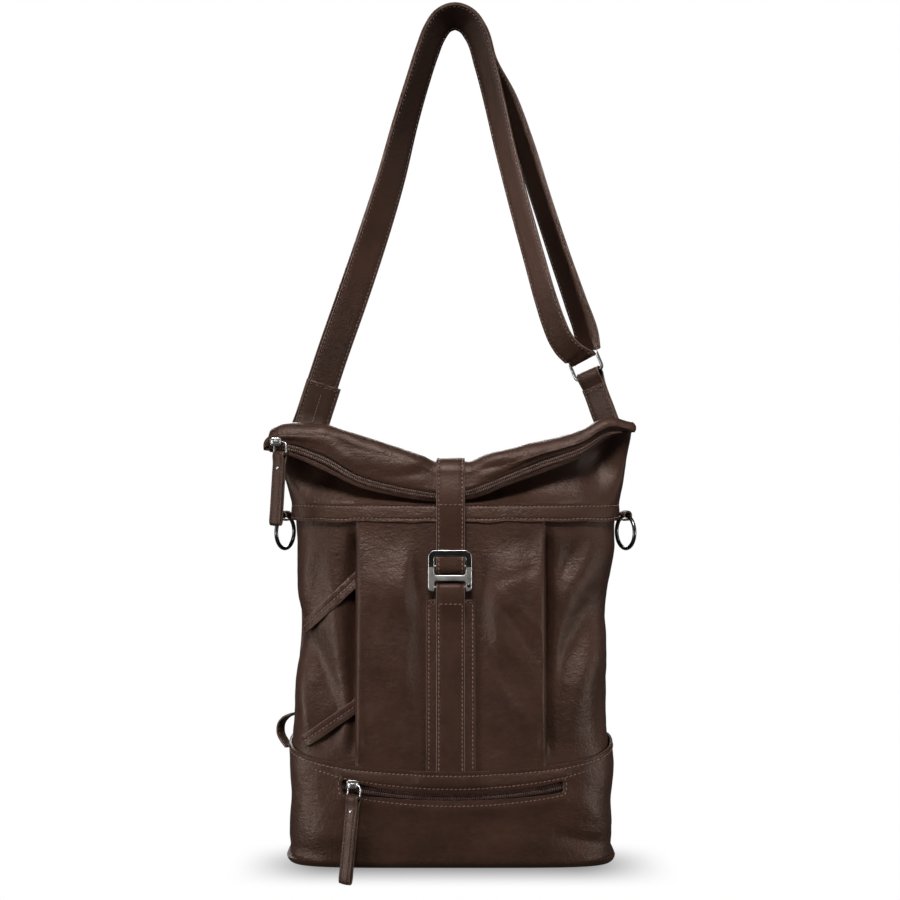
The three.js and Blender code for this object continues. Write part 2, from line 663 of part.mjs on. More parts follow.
// Zip behind the pocket's slot
const pocketTape = pocketStrip(POCKET.half + 3, 4, -1.2, BOOT_IN - 0.9);
const pocketCoil = pocketStrip(ZIP.coilHalf, -1.5, -0.6, BOOT_IN + 1);
addPiece("pocket_zip", fromSolid(solid(pocketTape).add(solid(pocketCoil))), tape);

// A piece built round its own origin, set by a place and the directions of its three axes
function setOnAxes(piece, place, across, depth, up) {
  piece.applyMatrix4(new THREE.Matrix4().makeBasis(across, depth, up).setPosition(place));
}

// Zip sliders with their wire ring and leather pull
const SLIDER = { wide: 7, tall: 11, plate: 2.2, bridge: 6.6, bow: 1.6, wire: 0.9 };
const PULL = { ringWide: 14.5, ringTall: 13, tabWide: 10.8, neck: 7, layer: 1.9, rivet: 2.1, rivetDrop: 14 };
const PULLS = [
  { name: "top", at: [-171, -43.6, -433], tabLength: 72, lean: 5, out: 4 },
  { name: "pocket", at: [-97, -67, -755.5], tabLength: 82, lean: 9, out: 2 },
];

// Side view of a slider: a plate with a bridge that the wire ring hangs in, in (depth, height)
function sliderGeometry() {
  const half = SLIDER.tall / 2;
  const outline = new THREE.Shape(placedLoop(SLIDER.bridge, half, -half, SLIDER.bow));
  const eye = placedLoop(SLIDER.bridge - SLIDER.plate - SLIDER.bow, half - SLIDER.bow, -half + SLIDER.bow, 0.8);
  const shift = (SLIDER.plate - SLIDER.bow) / -2;
  outline.holes.push(new THREE.Path(eye.map((p) => new THREE.Vector2(p.x + shift, p.y))));
  const slider = new THREE.ExtrudeGeometry(outline, { depth: SLIDER.wide, bevelEnabled: false });
  slider.translate(0, 0, -SLIDER.wide / 2);
  return slider.applyMatrix4(new THREE.Matrix4().makeBasis(
    new THREE.Vector3(0, 1, 0), new THREE.Vector3(0, 0, 1), new THREE.Vector3(1, 0, 0)));
}

for (const pull of PULLS) {
  const place = new THREE.Vector3(...pull.at);
  addPiece(`${pull.name}_slider`, sliderGeometry(), nickel).position.copy(place);

  // The pull hangs from the wire's top bar, leaning sideways and out from the bag
  const hanging = new THREE.Group();
  hanging.position.copy(place).add(new THREE.Vector3(0, -0.3, 0));
  hanging.rotation.set(
    THREE.MathUtils.degToRad(-pull.out), THREE.MathUtils.degToRad(pull.lean), 0, "YXZ");
  bag.add(hanging);
  const axis = new THREE.Vector3(0, 1, 0);
  const loop = roundedLoop(PULL.ringWide, PULL.ringTall, 2.5, 2).map((p) => {
    return new THREE.Vector3(p.x, 0, p.y - PULL.ringTall / 2);
  });
  const ring = new THREE.Mesh(wireLoop(loop, axis, SLIDER.wire, 6), nickel);
  ring.name = `${pull.name}_pull_ring`;

  const barZ = -PULL.ringTall;
  const bend = SLIDER.wire + WIRE_PLAY + PULL.layer / 2;
  const close = PULL.layer / 2 + FOLD_PLAY;
  const low = barZ - pull.tabLength;
  const path = [
    new THREE.Vector2(-close, low), new THREE.Vector2(-close, barZ - PULL.neck),
    ...roundBar(0, barZ, bend, 180, 0, 6),
    new THREE.Vector2(close, barZ - PULL.neck), new THREE.Vector2(close, low),
  ];
  const tab = new THREE.Mesh(bentBand(path, PULL.layer, PULL.tabWide), leather);
  tab.name = `${pull.name}_pull_tab`;

  const rivet = new THREE.Mesh(new THREE.CylinderGeometry(PULL.rivet, PULL.rivet * 0.7, 0.9, 12), nickel);
  rivet.name = `${pull.name}_pull_rivet`;
  rivet.position.set(0, -close - PULL.layer / 2 - 0.75, barZ - PULL.rivetDrop);
  hanging.add(ring, tab, rivet);
}

// Round rings at the two ends of the hem, each hanging in a leather loop
const SIDE_RING = { radius: 17.5, wire: 2, z: -515, swing: 28 };
const RING_TAB = { inside: 3.5, layer: 1.6, width: 10, reach: 2.6 };
const SIDE_RINGS = [
  { name: "left", x: -167.8, out: -1 },
  { name: "right", x: 172.5, out: 1 },
];
for (const side of SIDE_RINGS) {
  const turn = THREE.MathUtils.degToRad(side.out * SIDE_RING.swing);
  const along = new THREE.Vector3(Math.sin(turn), -Math.cos(turn), 0);
  const toBag = new THREE.Vector3(-side.out * Math.cos(turn * side.out), -Math.sin(turn) * side.out, 0);
  const up = new THREE.Vector3(0, 0, 1);
  const across = new THREE.Vector3().crossVectors(toBag, up);
  const ring = addPiece(`side_ring_${side.name}`,
    new THREE.TorusGeometry(SIDE_RING.radius, SIDE_RING.wire, 8, 32), blackNickel);
  setOnAxes(ring, new THREE.Vector3(side.x, 0, SIDE_RING.z), across, up, toBag.clone().negate());

  const radius = RING_TAB.inside + RING_TAB.layer / 2;
  const path = [
    new THREE.Vector2(RING_TAB.reach, -radius), ...roundBar(0, 0, radius, -110, -360, 10),
  ];
  const tab = addPiece(`ring_tab_${side.name}`, bentBand(path, RING_TAB.layer, RING_TAB.width), leather);
  setOnAxes(tab, new THREE.Vector3(side.x, 0, SIDE_RING.z + SIDE_RING.radius), across, toBag, up);
}

// Directions at each row of a strand: along it, across its width and out of its inner face
function strandFrames(rows) {
  const places = rows.map((row) => new THREE.Vector3(row.x, row.y, row.z));
  return rows.map((row, i) => {
    const along = new THREE.Vector3()
      .subVectors(places[Math.min(i + 1, rows.length - 1)], places[Math.max(i - 1, 0)]).normalize();
    const turn = THREE.MathUtils.degToRad(row.turn);
    const outside = new THREE.Vector3(-along.z, 0, along.x).normalize();
    const across = outside.multiplyScalar(Math.cos(turn)).add(new THREE.Vector3(0, -Math.sin(turn), 0));
    const inner = new THREE.Vector3().crossVectors(along, across).normalize();
    across.crossVectors(inner, along).normalize();
    return { place: places[i], across, inner, turn: row.turn };
  });
}

const slideInner = new THREE.Vector3().crossVectors(SLIDE_DOWN, SLIDE_ACROSS).normalize();
const slideDown = new THREE.Vector3().crossVectors(SLIDE_ACROSS, slideInner).normalize();

// Frames round the upper bar of the rectangular ring, from its front to its back
function bightFrames() {
  const radius = SLIDE_WIRE + WIRE_PLAY + LEATHER / 2;
  return [20, 60, 100, 140, 180].map((degrees) => {
    const angle = THREE.MathUtils.degToRad(degrees);
    const inner = slideInner.clone().multiplyScalar(Math.cos(angle))
      .addScaledVector(slideDown, Math.sin(angle));
    return { place: SLIDE_AT.clone().addScaledVector(inner, radius), across: SLIDE_ACROSS, inner };
  });
}

// A flat strap through frames, split so that its two layers bend alike
function ribbon(frames, width, thickness, turnFrom) {
  const corners = [[1, 1], [1, -1], [-1, -1], [-1, 1]];
  return loft(frames.map(({ place, across, inner }) => corners.map(([a, n]) => {
    return place.clone().addScaledVector(across, a * width / 2).addScaledVector(inner, n * thickness / 2);
  })), ENDS.strip, turnFrom);
}

const innerLayer = strandFrames(STRAND_IN);
const outerRows = innerLayer.slice(0, STRAND_TOP_COUNT).map(({ place, inner, turn }) => {
  const moved = place.clone().addScaledVector(inner, -LAYER_STEP);
  return { x: moved.x, y: moved.y, z: moved.z, turn };
});
const outerLayer = strandFrames([...outerRows, ...STRAND_OUT.slice().reverse()]);
const returning = outerLayer.reverse().map(({ place, across, inner }) => {
  return { place, across, inner: inner.clone().negate() };
});
const bight = bightFrames();
const strapFrames = [...innerLayer, ...bight, ...returning];
const strap = ribbon(strapFrames, STRAP_WIDTH, LEATHER, innerLayer.length + bight.length);
addPiece("shoulder_strap", strap, leather);

// Rectangular ring
const slideLoop = roundedLoop(SLIDE_WIDTH, SLIDE_DROP, 3, 2).map((p) => {
  return SLIDE_AT.clone().addScaledVector(SLIDE_ACROSS, p.x)
    .addScaledVector(slideDown, SLIDE_DROP / 2 - p.y);
});
addPiece("slide_ring", wireLoop(slideLoop, slideInner, SLIDE_WIRE, 8), nickel);

// Tabs that carry the strap, sewn behind the crest
const TAB = { layer: 1.8, neck: 14, width: 34, above: 31, below: 34.5, rightLength: 85.4, rightWidth: 26.5 };

function strapTabLeft() {
  const inside = LAYER_STEP / 2 + LEATHER / 2 + 0.5 + TAB.layer / 2;
  const path = [
    new THREE.Vector2(-inside, TAB.above), new THREE.Vector2(-inside, -TAB.below),
    new THREE.Vector2(0, -TAB.below - 2), new THREE.Vector2(inside, -TAB.below),
    new THREE.Vector2(inside, TAB.above),
  ];
  return bentBand(path, TAB.layer, TAB.width);
}
const strapEnd = innerLayer[0];
const tabLeft = addPiece("strap_tab_left", strapTabLeft(), leather);
setOnAxes(tabLeft, strapEnd.place.clone().addScaledVector(strapEnd.inner, -LAYER_STEP / 2),
  strapEnd.across.clone().negate(), strapEnd.inner.clone().negate(),
  new THREE.Vector3().crossVectors(strapEnd.across, strapEnd.inner));

function strapTabRight() {
  const bend = SLIDE_WIRE + SLIDE_PLAY + TAB.layer / 2;
  const close = TAB.layer / 2 + FOLD_PLAY;
  const path = [
    new THREE.Vector2(-close, -TAB.rightLength), new THREE.Vector2(-close, -TAB.neck),
    ...roundBar(0, 0, bend, 180, 0, 8),
    new THREE.Vector2(close, -TAB.neck), new THREE.Vector2(close, -TAB.rightLength),
  ];
  return bentBand(path, TAB.layer, TAB.rightWidth);
}
const tabUp = new THREE.Vector3(-0.34, 0.07, 0.937).normalize();
const tabFront = new THREE.Vector3().crossVectors(SLIDE_ACROSS, tabUp).normalize();
const tabAcross = new THREE.Vector3().crossVectors(tabUp, tabFront).normalize();
const tabRight = addPiece("strap_tab_right", strapTabRight(), leather);
setOnAxes(tabRight, SLIDE_AT.clone().addScaledVector(slideDown, SLIDE_DROP),
  tabAcross, tabFront.clone().negate(), tabUp);

// Small loop at the lower left, behind the side
const BASE_LOOP = { at: new THREE.Vector3(-161.5, 22, -715), turn: 35, width: 12, out: 17, half: 17 };
function baseLoop() {
  const { out, half } = BASE_LOOP;
  const path = [
    new THREE.Vector2(-1.4, half), new THREE.Vector2(out * 0.55, half * 0.72),
    new THREE.Vector2(out * 0.92, half * 0.3), new THREE.Vector2(out * 0.95, -half * 0.25),
    new THREE.Vector2(out * 0.6, -half * 0.75), new THREE.Vector2(5.5, -half),
  ];
  return bentBand(path, LEATHER, BASE_LOOP.width);
}
const loopTurn = THREE.MathUtils.degToRad(BASE_LOOP.turn);
const loopOut = new THREE.Vector3(-Math.cos(loopTurn), Math.sin(loopTurn), 0);
const loopUp = new THREE.Vector3(0, 0, 1);
setOnAxes(addPiece("base_loop", baseLoop(), leather), BASE_LOOP.at,
  new THREE.Vector3().crossVectors(loopOut, loopUp), loopOut, loopUp);

export default bag;
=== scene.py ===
"""Looks of a leather roll-top bag that hangs by its doubled shoulder strap.

Each class is one sub-assembly of the bag. Its sizes are fields in millimetres, and its methods
build the meshes and dress them. The front of the bag faces -Y and +Z is up.
"""

import logging
import math
from dataclasses import dataclass
from enum import Enum
from typing import Sequence

import bmesh
import bpy
import numpy as np
from mathutils import Matrix, Vector, noise


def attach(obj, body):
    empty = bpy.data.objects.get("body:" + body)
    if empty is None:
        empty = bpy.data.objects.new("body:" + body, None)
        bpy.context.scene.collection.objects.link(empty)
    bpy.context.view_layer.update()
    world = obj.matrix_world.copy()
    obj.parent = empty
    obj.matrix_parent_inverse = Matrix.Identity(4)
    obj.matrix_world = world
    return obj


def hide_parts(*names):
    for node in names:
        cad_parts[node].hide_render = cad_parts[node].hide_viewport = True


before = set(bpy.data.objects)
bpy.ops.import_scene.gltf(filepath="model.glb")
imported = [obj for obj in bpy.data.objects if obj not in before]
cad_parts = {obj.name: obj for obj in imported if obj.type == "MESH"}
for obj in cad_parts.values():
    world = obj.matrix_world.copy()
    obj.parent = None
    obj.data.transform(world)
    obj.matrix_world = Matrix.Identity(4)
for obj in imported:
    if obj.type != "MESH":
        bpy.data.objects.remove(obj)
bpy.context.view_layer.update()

LOG = logging.getLogger("roll_top_bag")
Array = np.ndarray
Socket = bpy.types.NodeSocket
Point = tuple[float, float, float]
Span = tuple[float, float]
MM = 0.001
BAG = "bag"
# Finish number of a strap's thread, after its face and its painted edge
THREAD_NUMBER = 2


class Slot(Enum):
    """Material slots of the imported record."""

    HIDE = "leather"
    STRAP = "strap_leather"
    TAPE = "zip_tape"
    GUNMETAL = "gunmetal"
    NICKEL = "nickel"


# Number helpers

def ease(low: float, high: float, value: Array) -> Array:
    """Rise smoothly from 0 at low to 1 at high.

    Args:
        low: Value where the rise begins.
        high: Value where the rise ends.
        value: Values to look up.

    Returns:
        The eased share of each value.
    """
    share = np.clip((np.asarray(value, float) - low) / (high - low), 0.0, 1.0)
    return share * share * (3.0 - 2.0 * share)


def bell(value: Array, reach: float) -> Array:
    """Give a smooth bump that is 1 at 0 and has faded well away at twice its reach."""
    return np.exp(-((value / reach) ** 2))


def blend_rows(rows: Array, slopes: Array, row: Array, share: Array, run: Array) -> Array:
    """Read a smooth curve between neighbouring rows.

    Args:
        rows: Values of all rows.
        slopes: Slopes of the curve at all rows.
        row: Number of the row before each place.
        share: Share of the way to the next row.
        run: Distance to the next row.

    Returns:
        The curve's value at each place.
    """
    left = 1 - share
    start = (1 + 2 * share) * left ** 2 * rows[row] + share * left ** 2 * run * slopes[row]
    end = share * share * (3 - 2 * share) * rows[row + 1] - share * share * left * run * slopes[row + 1]
    return start + end


def smooth_column(places: Sequence[float], values: Sequence[float], at: Array) -> Array:
    """Read a table column along a smooth curve that never overshoots its rows.

    Args:
        places: Rising places of the rows.
        values: The column's values.
        at: Places to look up.

    Returns:
        The column's value at each place.
    """
    x = np.asarray(places, float)
    y = np.asarray(values, float)
    at = np.clip(np.asarray(at, float), x[0], x[-1])
    run = np.diff(x)
    slope = np.diff(y) / run
    tangent = np.zeros_like(x)
    tangent[0], tangent[-1] = slope[0], slope[-1]
    same = slope[:-1] * slope[1:] > 0
    harmonic = 2.0 * slope[:-1] * slope[1:] / np.where(same, slope[:-1] + slope[1:], 1.0)
    tangent[1:-1] = np.where(same, harmonic, 0.0)
    row = np.clip(np.searchsorted(x, at) - 1, 0, len(run) - 1)
    return blend_rows(y, tangent, row, (at - x[row]) / run[row], run[row])


def graded(start: float, stop: float, step: float, fine: Sequence[float], reach: float,
           least: float = 0.12) -> Array:
    """Cut a length into steps, with closer cuts near chosen places.

    Args:
        start: First place.
        stop: Last place.
        step: Usual distance between cuts.
        fine: Places that get close cuts on both sides.
        reach: How far the close cuts go from each such place.
        least: Smallest distance between cuts.

    Returns:
        The sorted places.
    """
    low, high = min(start, stop), max(start, stop)
    cuts = list(np.linspace(low, high, max(2, int(round((high - low) / step)) + 1)))
    for place in fine:
        cuts.extend(place + reach * share for share in (-1, -0.55, -0.25, -0.08, 0.08, 0.25, 0.55, 1))
    kept = [low]
    for cut in sorted(c for c in cuts if low < c < high):
        if cut - kept[-1] > least:
            kept.append(cut)
    if high - kept[-1] < least:
        kept.pop()
    kept.append(high)
    return np.array(kept if start < stop else kept[::-1])


def rows_of(*parts: Array | float) -> Array:
    """Set arrays side by side along a new last axis, with single numbers repeated."""
    return np.stack(np.broadcast_arrays(*parts), axis=-1)


def run_lengths(points: Array) -> Array:
    """Give the distance along a line of points, from 0 at its start."""
    return np.concatenate([[0], np.cumsum(np.linalg.norm(np.diff(points, axis=0), axis=1))])


def circle(sides: int) -> tuple[Array, Array]:
    """Give the cosines and sines of places spaced round a circle."""
    turn = np.arange(sides) * 2 * np.pi / sides
    return np.cos(turn), np.sin(turn)


def unit_rows(vectors: Array) -> Array:
    """Scale vectors along the last axis to length one."""
    return vectors / np.maximum(np.linalg.norm(vectors, axis=-1, keepdims=True), 1e-9)


def grid_normals(grid: Array, around: bool) -> Array:
    """Find the normals of a grid of points.

    Args:
        grid: Points by row and column.
        around: Whether the columns close on themselves.

    Returns:
        Unit normals, one for each point, along (row step) x (column step).
    """
    down = np.gradient(grid, axis=0)
    if around:
        across = np.roll(grid, -1, axis=1) - np.roll(grid, 1, axis=1)
    else:
        across = np.gradient(grid, axis=1)
    return unit_rows(np.cross(down, across))


@dataclass(frozen=True)
class Ripple:
    """One layer of the soft waviness of a hide: how long and how high its waves are."""

    length: float
    height: float
    seed: float = 0.0
    stretch: Point = (1.0, 1.0, 1.0)

    def at(self, points: Array) -> Array:
        """Give the height of the waves at each point.

        Args:
            points: Points with the coordinates in the last axis.

        Returns:
            Heights in millimetres, positive and negative.
        """
        scaled = points.reshape(-1, 3) / (np.array(self.stretch) * self.length) + self.seed
        values = [noise.noise(Vector(p)) for p in scaled]
        return self.height * np.array(values).reshape(points.shape[:-1])


def ripple_sum(ripples: Sequence[Ripple], points: Array) -> Array:
    """Add up several layers of waviness at each point."""
    return sum((ripple.at(points) for ripple in ripples), np.zeros(points.shape[:-1]))


@dataclass(frozen=True)
class Crease:
    """A fold stroked on the front of the bag: its ends, its height and how far it reaches."""

    start: Span
    end: Span
    rise: float
    reach: float

    def at(self, x: Array, z: Array) -> Array:
        """Give the fold's height at places on the front.

        Args:
            x: Places across.
            z: Heights.

        Returns:
            Heights of the fold in millimetres.
        """
        start, run = np.array(self.start), np.subtract(self.end, self.start)
        share = np.clip(((x - start[0]) * run[0] + (z - start[1]) * run[1]) / (run @ run), 0, 1)
        away = np.hypot(x - start[0] - share * run[0], z - start[1] - share * run[1])
        fade = 0.25 + 0.75 * np.sin(np.pi * np.clip(share, 0.02, 0.98)) ** 0.5
        return self.rise * fade * bell(away, self.reach)


# Mesh making

class MeshDraft:
    """Points and faces gathered for one piece, with a finish number for each face."""

    def __init__(self) -> None:
        """Start with nothing drawn."""
        self.points: list[Array] = []
        self.faces: list[tuple[int, ...]] = []
        self.finish_of: list[int] = []
        self.count = 0

    def add_points(self, points: Array) -> int:
        """Store points.

        Args:
            points: Points in millimetres, in any grid shape.

        Returns:
            The number of the first stored point.
        """
        flat = np.asarray(points, float).reshape(-1, 3)
        first = self.count
        self.points.append(flat)
        self.count += len(flat)
        return first

    def add_faces(self, faces: Sequence[tuple[int, ...]], finish: int = 0) -> None:
        """Store faces that share one finish."""
        self.faces.extend(faces)
        self.finish_of.extend([finish] * len(faces))

    def add_grid(self, first: int, rows: int, cols: int, around: bool, finish: int | Sequence[int] = 0,
                 keep: Array | None = None) -> None:
        """Add the faces of a grid of stored points.

        Args:
            first: Number of the grid's first point.
            rows: Rows of points.
            cols: Columns of points.
            around: Whether the columns close on themselves.
            finish: Finish number of the faces, or one for each column of faces.
            keep: Optional mask of the faces to draw, by row and column.
        """
        wide = cols if around else cols - 1
        row, col = np.meshgrid(np.arange(rows - 1), np.arange(wide), indexing="ij")
        right = (col + 1) % cols
        quads = rows_of(row * cols + col, row * cols + right,
                          (row + 1) * cols + right, (row + 1) * cols + col) + first
        kept = np.ones(quads.shape[:2], bool) if keep is None else keep
        self.faces.extend(tuple(quad) for quad in quads[kept].tolist())
        self.finish_of.extend(np.broadcast_to(finish, kept.shape)[kept].tolist())

    def add_rim(self, one: Sequence[int], other: Sequence[int], closed: bool, finish: int = 0) -> None:
        """Join two lines of points by a strip of faces.

        Args:
            one: Point numbers of the first line.
            other: Point numbers of the second line, of the same length.
            closed: Whether the lines are loops.
            finish: Finish number of the strip.
        """
        last = len(one) if closed else len(one) - 1
        steps = [(i, (i + 1) % len(one)) for i in range(last)]
        self.add_faces([(one[i], one[j], other[j], other[i]) for i, j in steps], finish)

    def add_sheet(self, outer: Array, inner: Array, around: bool, edge_finish: int = 0) -> None:
        """Add a closed sheet of leather from its outer and inner faces.

        Args:
            outer: Outer face, by row and column.
            inner: Inner face, with the same columns, and the same rows unless the sheet goes around.
            around: Whether the columns close on themselves.
            edge_finish: Finish number of the cut edges.
        """
        rows, cols = outer.shape[:2]
        a, b = self.add_points(outer), self.add_points(inner)
        self.add_grid(a, rows, cols, around)
        self.add_grid(b, len(inner), cols, around)
        line = np.arange(cols)
        for one, other in ((0, 0), (rows - 1, len(inner) - 1)):
            pair = a + line + one * cols, b + line + other * cols
            self.add_rim(*(part.tolist() for part in pair), around, edge_finish)
        if not around:
            for side in (0, cols - 1):
                line = np.arange(rows) * cols + side
                self.add_rim((a + line).tolist(), (b + line).tolist(), False, edge_finish)

    def add_tube(self, rings: Array, closed: bool, finish: int | Sequence[int] = 0,
                 cap_finish: int = 0) -> None:
        """Add a tube through rings of points, capped unless it closes on itself.

        Args:
            rings: Points by ring and place round the ring.
            closed: Whether the last ring joins the first.
            finish: Finish number of the tube, or one for each place round the ring.
            cap_finish: Finish number of the two ends.
        """
        count, sides = rings.shape[:2]
        first = self.add_points(rings)
        self.add_grid(first, count, sides, True, finish)
        start = [first + i for i in range(sides)]
        end = [first + (count - 1) * sides + i for i in range(sides)]
        if closed:
            self.add_rim(end, start, True, cap_finish)
        else:
            self.add_faces([tuple(start[::-1]), tuple(end)], cap_finish)

    def add_rod(self, spine: Array, radii: Array, one: Array, other: Array, sides: int, finish: int) -> None:
        """Add a small straight rod whose thickness swells along it.

        Args:
            spine: Points along its middle.
            radii: Half its thickness at each of them.
            one: A direction square to the rod.
            other: The direction square to both.
            sides: Points round the rod.
            finish: Finish number of the rod.
        """
        cosines, sines = circle(sides)
        ring = np.outer(cosines, one) + np.outer(sines, other)
        self.add_tube(spine[:, None] + radii[:, None, None] * ring[None], False, finish, finish)

    def put(self, name: str, finishes: Sequence["Finish"], *nodes: str, body: str = BAG) -> None:
        """Make the piece and let it ride.

        Args:
            name: Name of the piece.
            finishes: The finishes that the face numbers stand for.
            *nodes: CAD nodes that it replaces.
            body: Body that it moves with.
        """
        put(self.make(name, finishes), finishes[0].slot, *nodes, body=body)

    def make(self, name: str, finishes: Sequence["Finish"], smooth_angle: float = 40.0) -> bpy.types.Object:
        """Turn the draft into an object in metres with its faces pointing out.

        Args:
            name: Name of the piece.
            finishes: The finishes that the face numbers stand for.
            smooth_angle: Sharpest bend, in degrees, that is shaded smooth.

        Returns:
            The new object, linked to the scene.
        """
        mesh = bpy.data.meshes.new(name)
        mesh.from_pydata((np.concatenate(self.points) * MM).tolist(), [], self.faces)
        mesh.polygons.foreach_set("material_index", self.finish_of)
        for finish in finishes:
            mesh.materials.append(finish.material())
        work = bmesh.new()
        work.from_mesh(mesh)
        bmesh.ops.recalc_face_normals(work, faces=work.faces)
        work.to_mesh(mesh)
        work.free()
        return show(name, mesh, smooth_angle)


def show(name: str, mesh: bpy.types.Mesh, smooth_angle: float,
         at: Point = (0.0, 0.0, 0.0)) -> bpy.types.Object:
    """Shade a mesh and set it in the scene.

    Args:
        name: Name of the object.
        mesh: Its mesh in metres.
        smooth_angle: Sharpest bend, in degrees, that is shaded smooth.
        at: Its place in millimetres.

    Returns:
        The new object.
    """
    mesh.shade_smooth()
    mesh.set_sharp_from_angle(angle=math.radians(smooth_angle))
    made = bpy.data.objects.new(name, mesh)
    made.location = Vector(at) * MM
    bpy.context.scene.collection.objects.link(made)
    return made


def put(piece: bpy.types.Object, slot: Slot, *nodes: str, body: str = BAG) -> bpy.types.Object:
    """Let a piece ride on a body, say which nodes it stands for and report it.

    Args:
        piece: The finished piece.
        slot: Material slot that its finish belongs to; not used.
        *nodes: CAD nodes that it replaces.
        body: Body that it moves with.

    Returns:
        The piece.
    """
    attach(piece, body)
    if nodes:
        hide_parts(*nodes)
    LOG.info("%s: %d faces on %s", piece.name, len(piece.data.polygons), body)
    return piece


@dataclass(frozen=True)
class Thread:
    """Waxed thread of the seams: stitch pitch, stitch length, half thickness and slant in degrees."""

    pitch: float = 4.3
    length: float = 3.3
    radius: float = 0.42
    slant: float = 9.0
    sides: int = 6

    def sew(self, draft: MeshDraft, path: Array, normals: Array, finish: int = 0) -> None:
        """Sew a row of stitches along a path.

        Args:
            draft: Draft that takes the stitches.
            path: Points of the seam on the leather.
            normals: Normals of the leather there.
            finish: Finish number of the thread.
        """
        lengths = run_lengths(path)
        count = int(lengths[-1] / self.pitch)
        middles = (np.arange(count) + 0.5) * lengths[-1] / max(count, 1)
        turn = math.radians(self.slant)
        shares = np.array([-0.5, -0.34, 0.0, 0.34, 0.5])
        swell = np.array([0.35, 0.9, 1.0, 0.9, 0.35])
        lift = np.array([-0.45, 0.12, 0.30, 0.12, -0.45])
        for middle in middles:
            spots = middle + shares * self.length
            at = np.stack([np.interp(spots, lengths, path[:, k]) for k in range(3)], axis=1)
            up = unit_rows(np.array([np.interp(middle, lengths, normals[:, k]) for k in range(3)]))
            along = unit_rows(at[-1] - at[0])
            side = np.cross(up, along)
            at = at + np.outer(shares * self.length * math.tan(turn), side) + np.outer(lift, up)
            draft.add_rod(at, swell * self.radius, side, up, self.sides, finish)


# Finishes

class NodeSketch:
    """Shorthand for drawing the node graph of one finish."""

    def __init__(self, name: str) -> None:
        """Start an empty material with a surface shader."""
        self.made = bpy.data.materials.new(name)
        self.made.use_nodes = True
        self.tree = self.made.node_tree
        self.shader = next(n for n in self.tree.nodes if n.type == "BSDF_PRINCIPLED")
        self.where = self.node("ShaderNodeTexCoord").outputs["Object"]

    def node(self, kind: str, links: dict[str, object] | None = None, **settings: object) -> bpy.types.Node:
        """Add a node.

        Args:
            kind: Blender's name of the node type.
            links: Input names with the socket or value that each one gets.
            **settings: Properties of the node.

        Returns:
            The new node.
        """
        made = self.tree.nodes.new(kind)
        for key, value in settings.items():
            setattr(made, key, value)
        for key, value in (links or {}).items():
            self.fill(made.inputs[key], value)
        return made

    def fill(self, socket: Socket, value: object) -> None:
        """Link a socket to another one, or set its value."""
        if isinstance(value, Socket):
            self.tree.links.new(value, socket)
        else:
            socket.default_value = value

    def noise(self, size: float, detail: float = 3.0, roughness: float = 0.5,
              where: Socket | None = None) -> Socket:
        """Add cloudy noise whose patches have a given size in millimetres."""
        links = {"Vector": where or self.where, "Scale": 1 / (size * MM), "Detail": detail,
                 "Roughness": roughness}
        return self.node("ShaderNodeTexNoise", links).outputs["Fac"]

    def stretched(self, scale: Point, turn: float = 0.0) -> Socket:
        """Give coordinates scaled along each axis and turned about Y, for drawn-out marks."""
        links = {"Vector": self.where, "Scale": scale, "Rotation": (0.0, math.radians(turn), 0.0)}
        return self.node("ShaderNodeMapping", links).outputs["Vector"]

    def span(self, value: Socket, low: float, high: float,
             come_in: Span = (0.3, 0.7)) -> Socket:
        """Map a value from a span that comes in to a span that goes out."""
        links = {"Value": value, "From Min": come_in[0], "From Max": come_in[1],
                 "To Min": low, "To Max": high}
        return self.node("ShaderNodeMapRange", links).outputs["Result"]

    def fall(self, value: Socket, reach: Span) -> Socket:
        """Rise smoothly from 0 at the first place to 1 at the second, both in millimetres."""
        links = {"Value": value, "From Min": reach[0] * MM, "From Max": reach[1] * MM}
        return self.node("ShaderNodeMapRange", links, interpolation_type="SMOOTHSTEP").outputs["Result"]

    def reckon(self, way: str, *values: object) -> Socket:
        """Reckon with one or two values, in a way that Blender names."""
        return self.node("ShaderNodeMath", dict(enumerate(values)), operation=way).outputs["Value"]

    def mix(self, share: object, one: object, other: object) -> Socket:
        """Mix two colours by a share."""
        made = self.node("ShaderNodeMix", data_type="RGBA")
        for place, value in ((0, share), (6, one), (7, other)):
            self.fill(made.inputs[place], value)
        return made.outputs[2]

    def bump(self, height: Socket, depth: float, strength: float,
             under: Socket | None = None) -> Socket:
        """Add relief of a depth in millimetres on top of other relief."""
        made = self.node("ShaderNodeBump", {"Height": height, "Distance": depth * MM, "Strength": strength})
        if under is not None:
            self.tree.links.new(under, made.inputs["Normal"])
        return made.outputs["Normal"]

    def dress(self, **sockets: object) -> bpy.types.Material:
        """Set the shader's sockets and return the material.

        Args:
            **sockets: Socket names with underscores for spaces, and a value or a link for each.

        Returns:
            The finished material.
        """
        for key, value in sockets.items():
            self.fill(self.shader.inputs[key.replace("_", " ")], value)
        return self.made


@dataclass(frozen=True)
class Finish:
    """A surface finish: its name, its base colour in linear light and its material slot."""

    name: str
    color: Point
    slot: Slot = Slot.HIDE

    def material(self) -> bpy.types.Material:
        """Give the finish's material, drawn the first time that it is asked for."""
        return bpy.data.materials.get(self.name) or self.draw(NodeSketch(self.name))

    def shade(self, share: float) -> tuple[float, float, float, float]:
        """Give the base colour made lighter or darker by a share."""
        return (*(min(channel * share, 1.0) for channel in self.color), 1.0)

    def draw(self, sketch: NodeSketch) -> bpy.types.Material:
        """Draw a plain finish; the kinds of finish below draw their own."""
        return sketch.dress(Base_Color=self.shade(1.0))


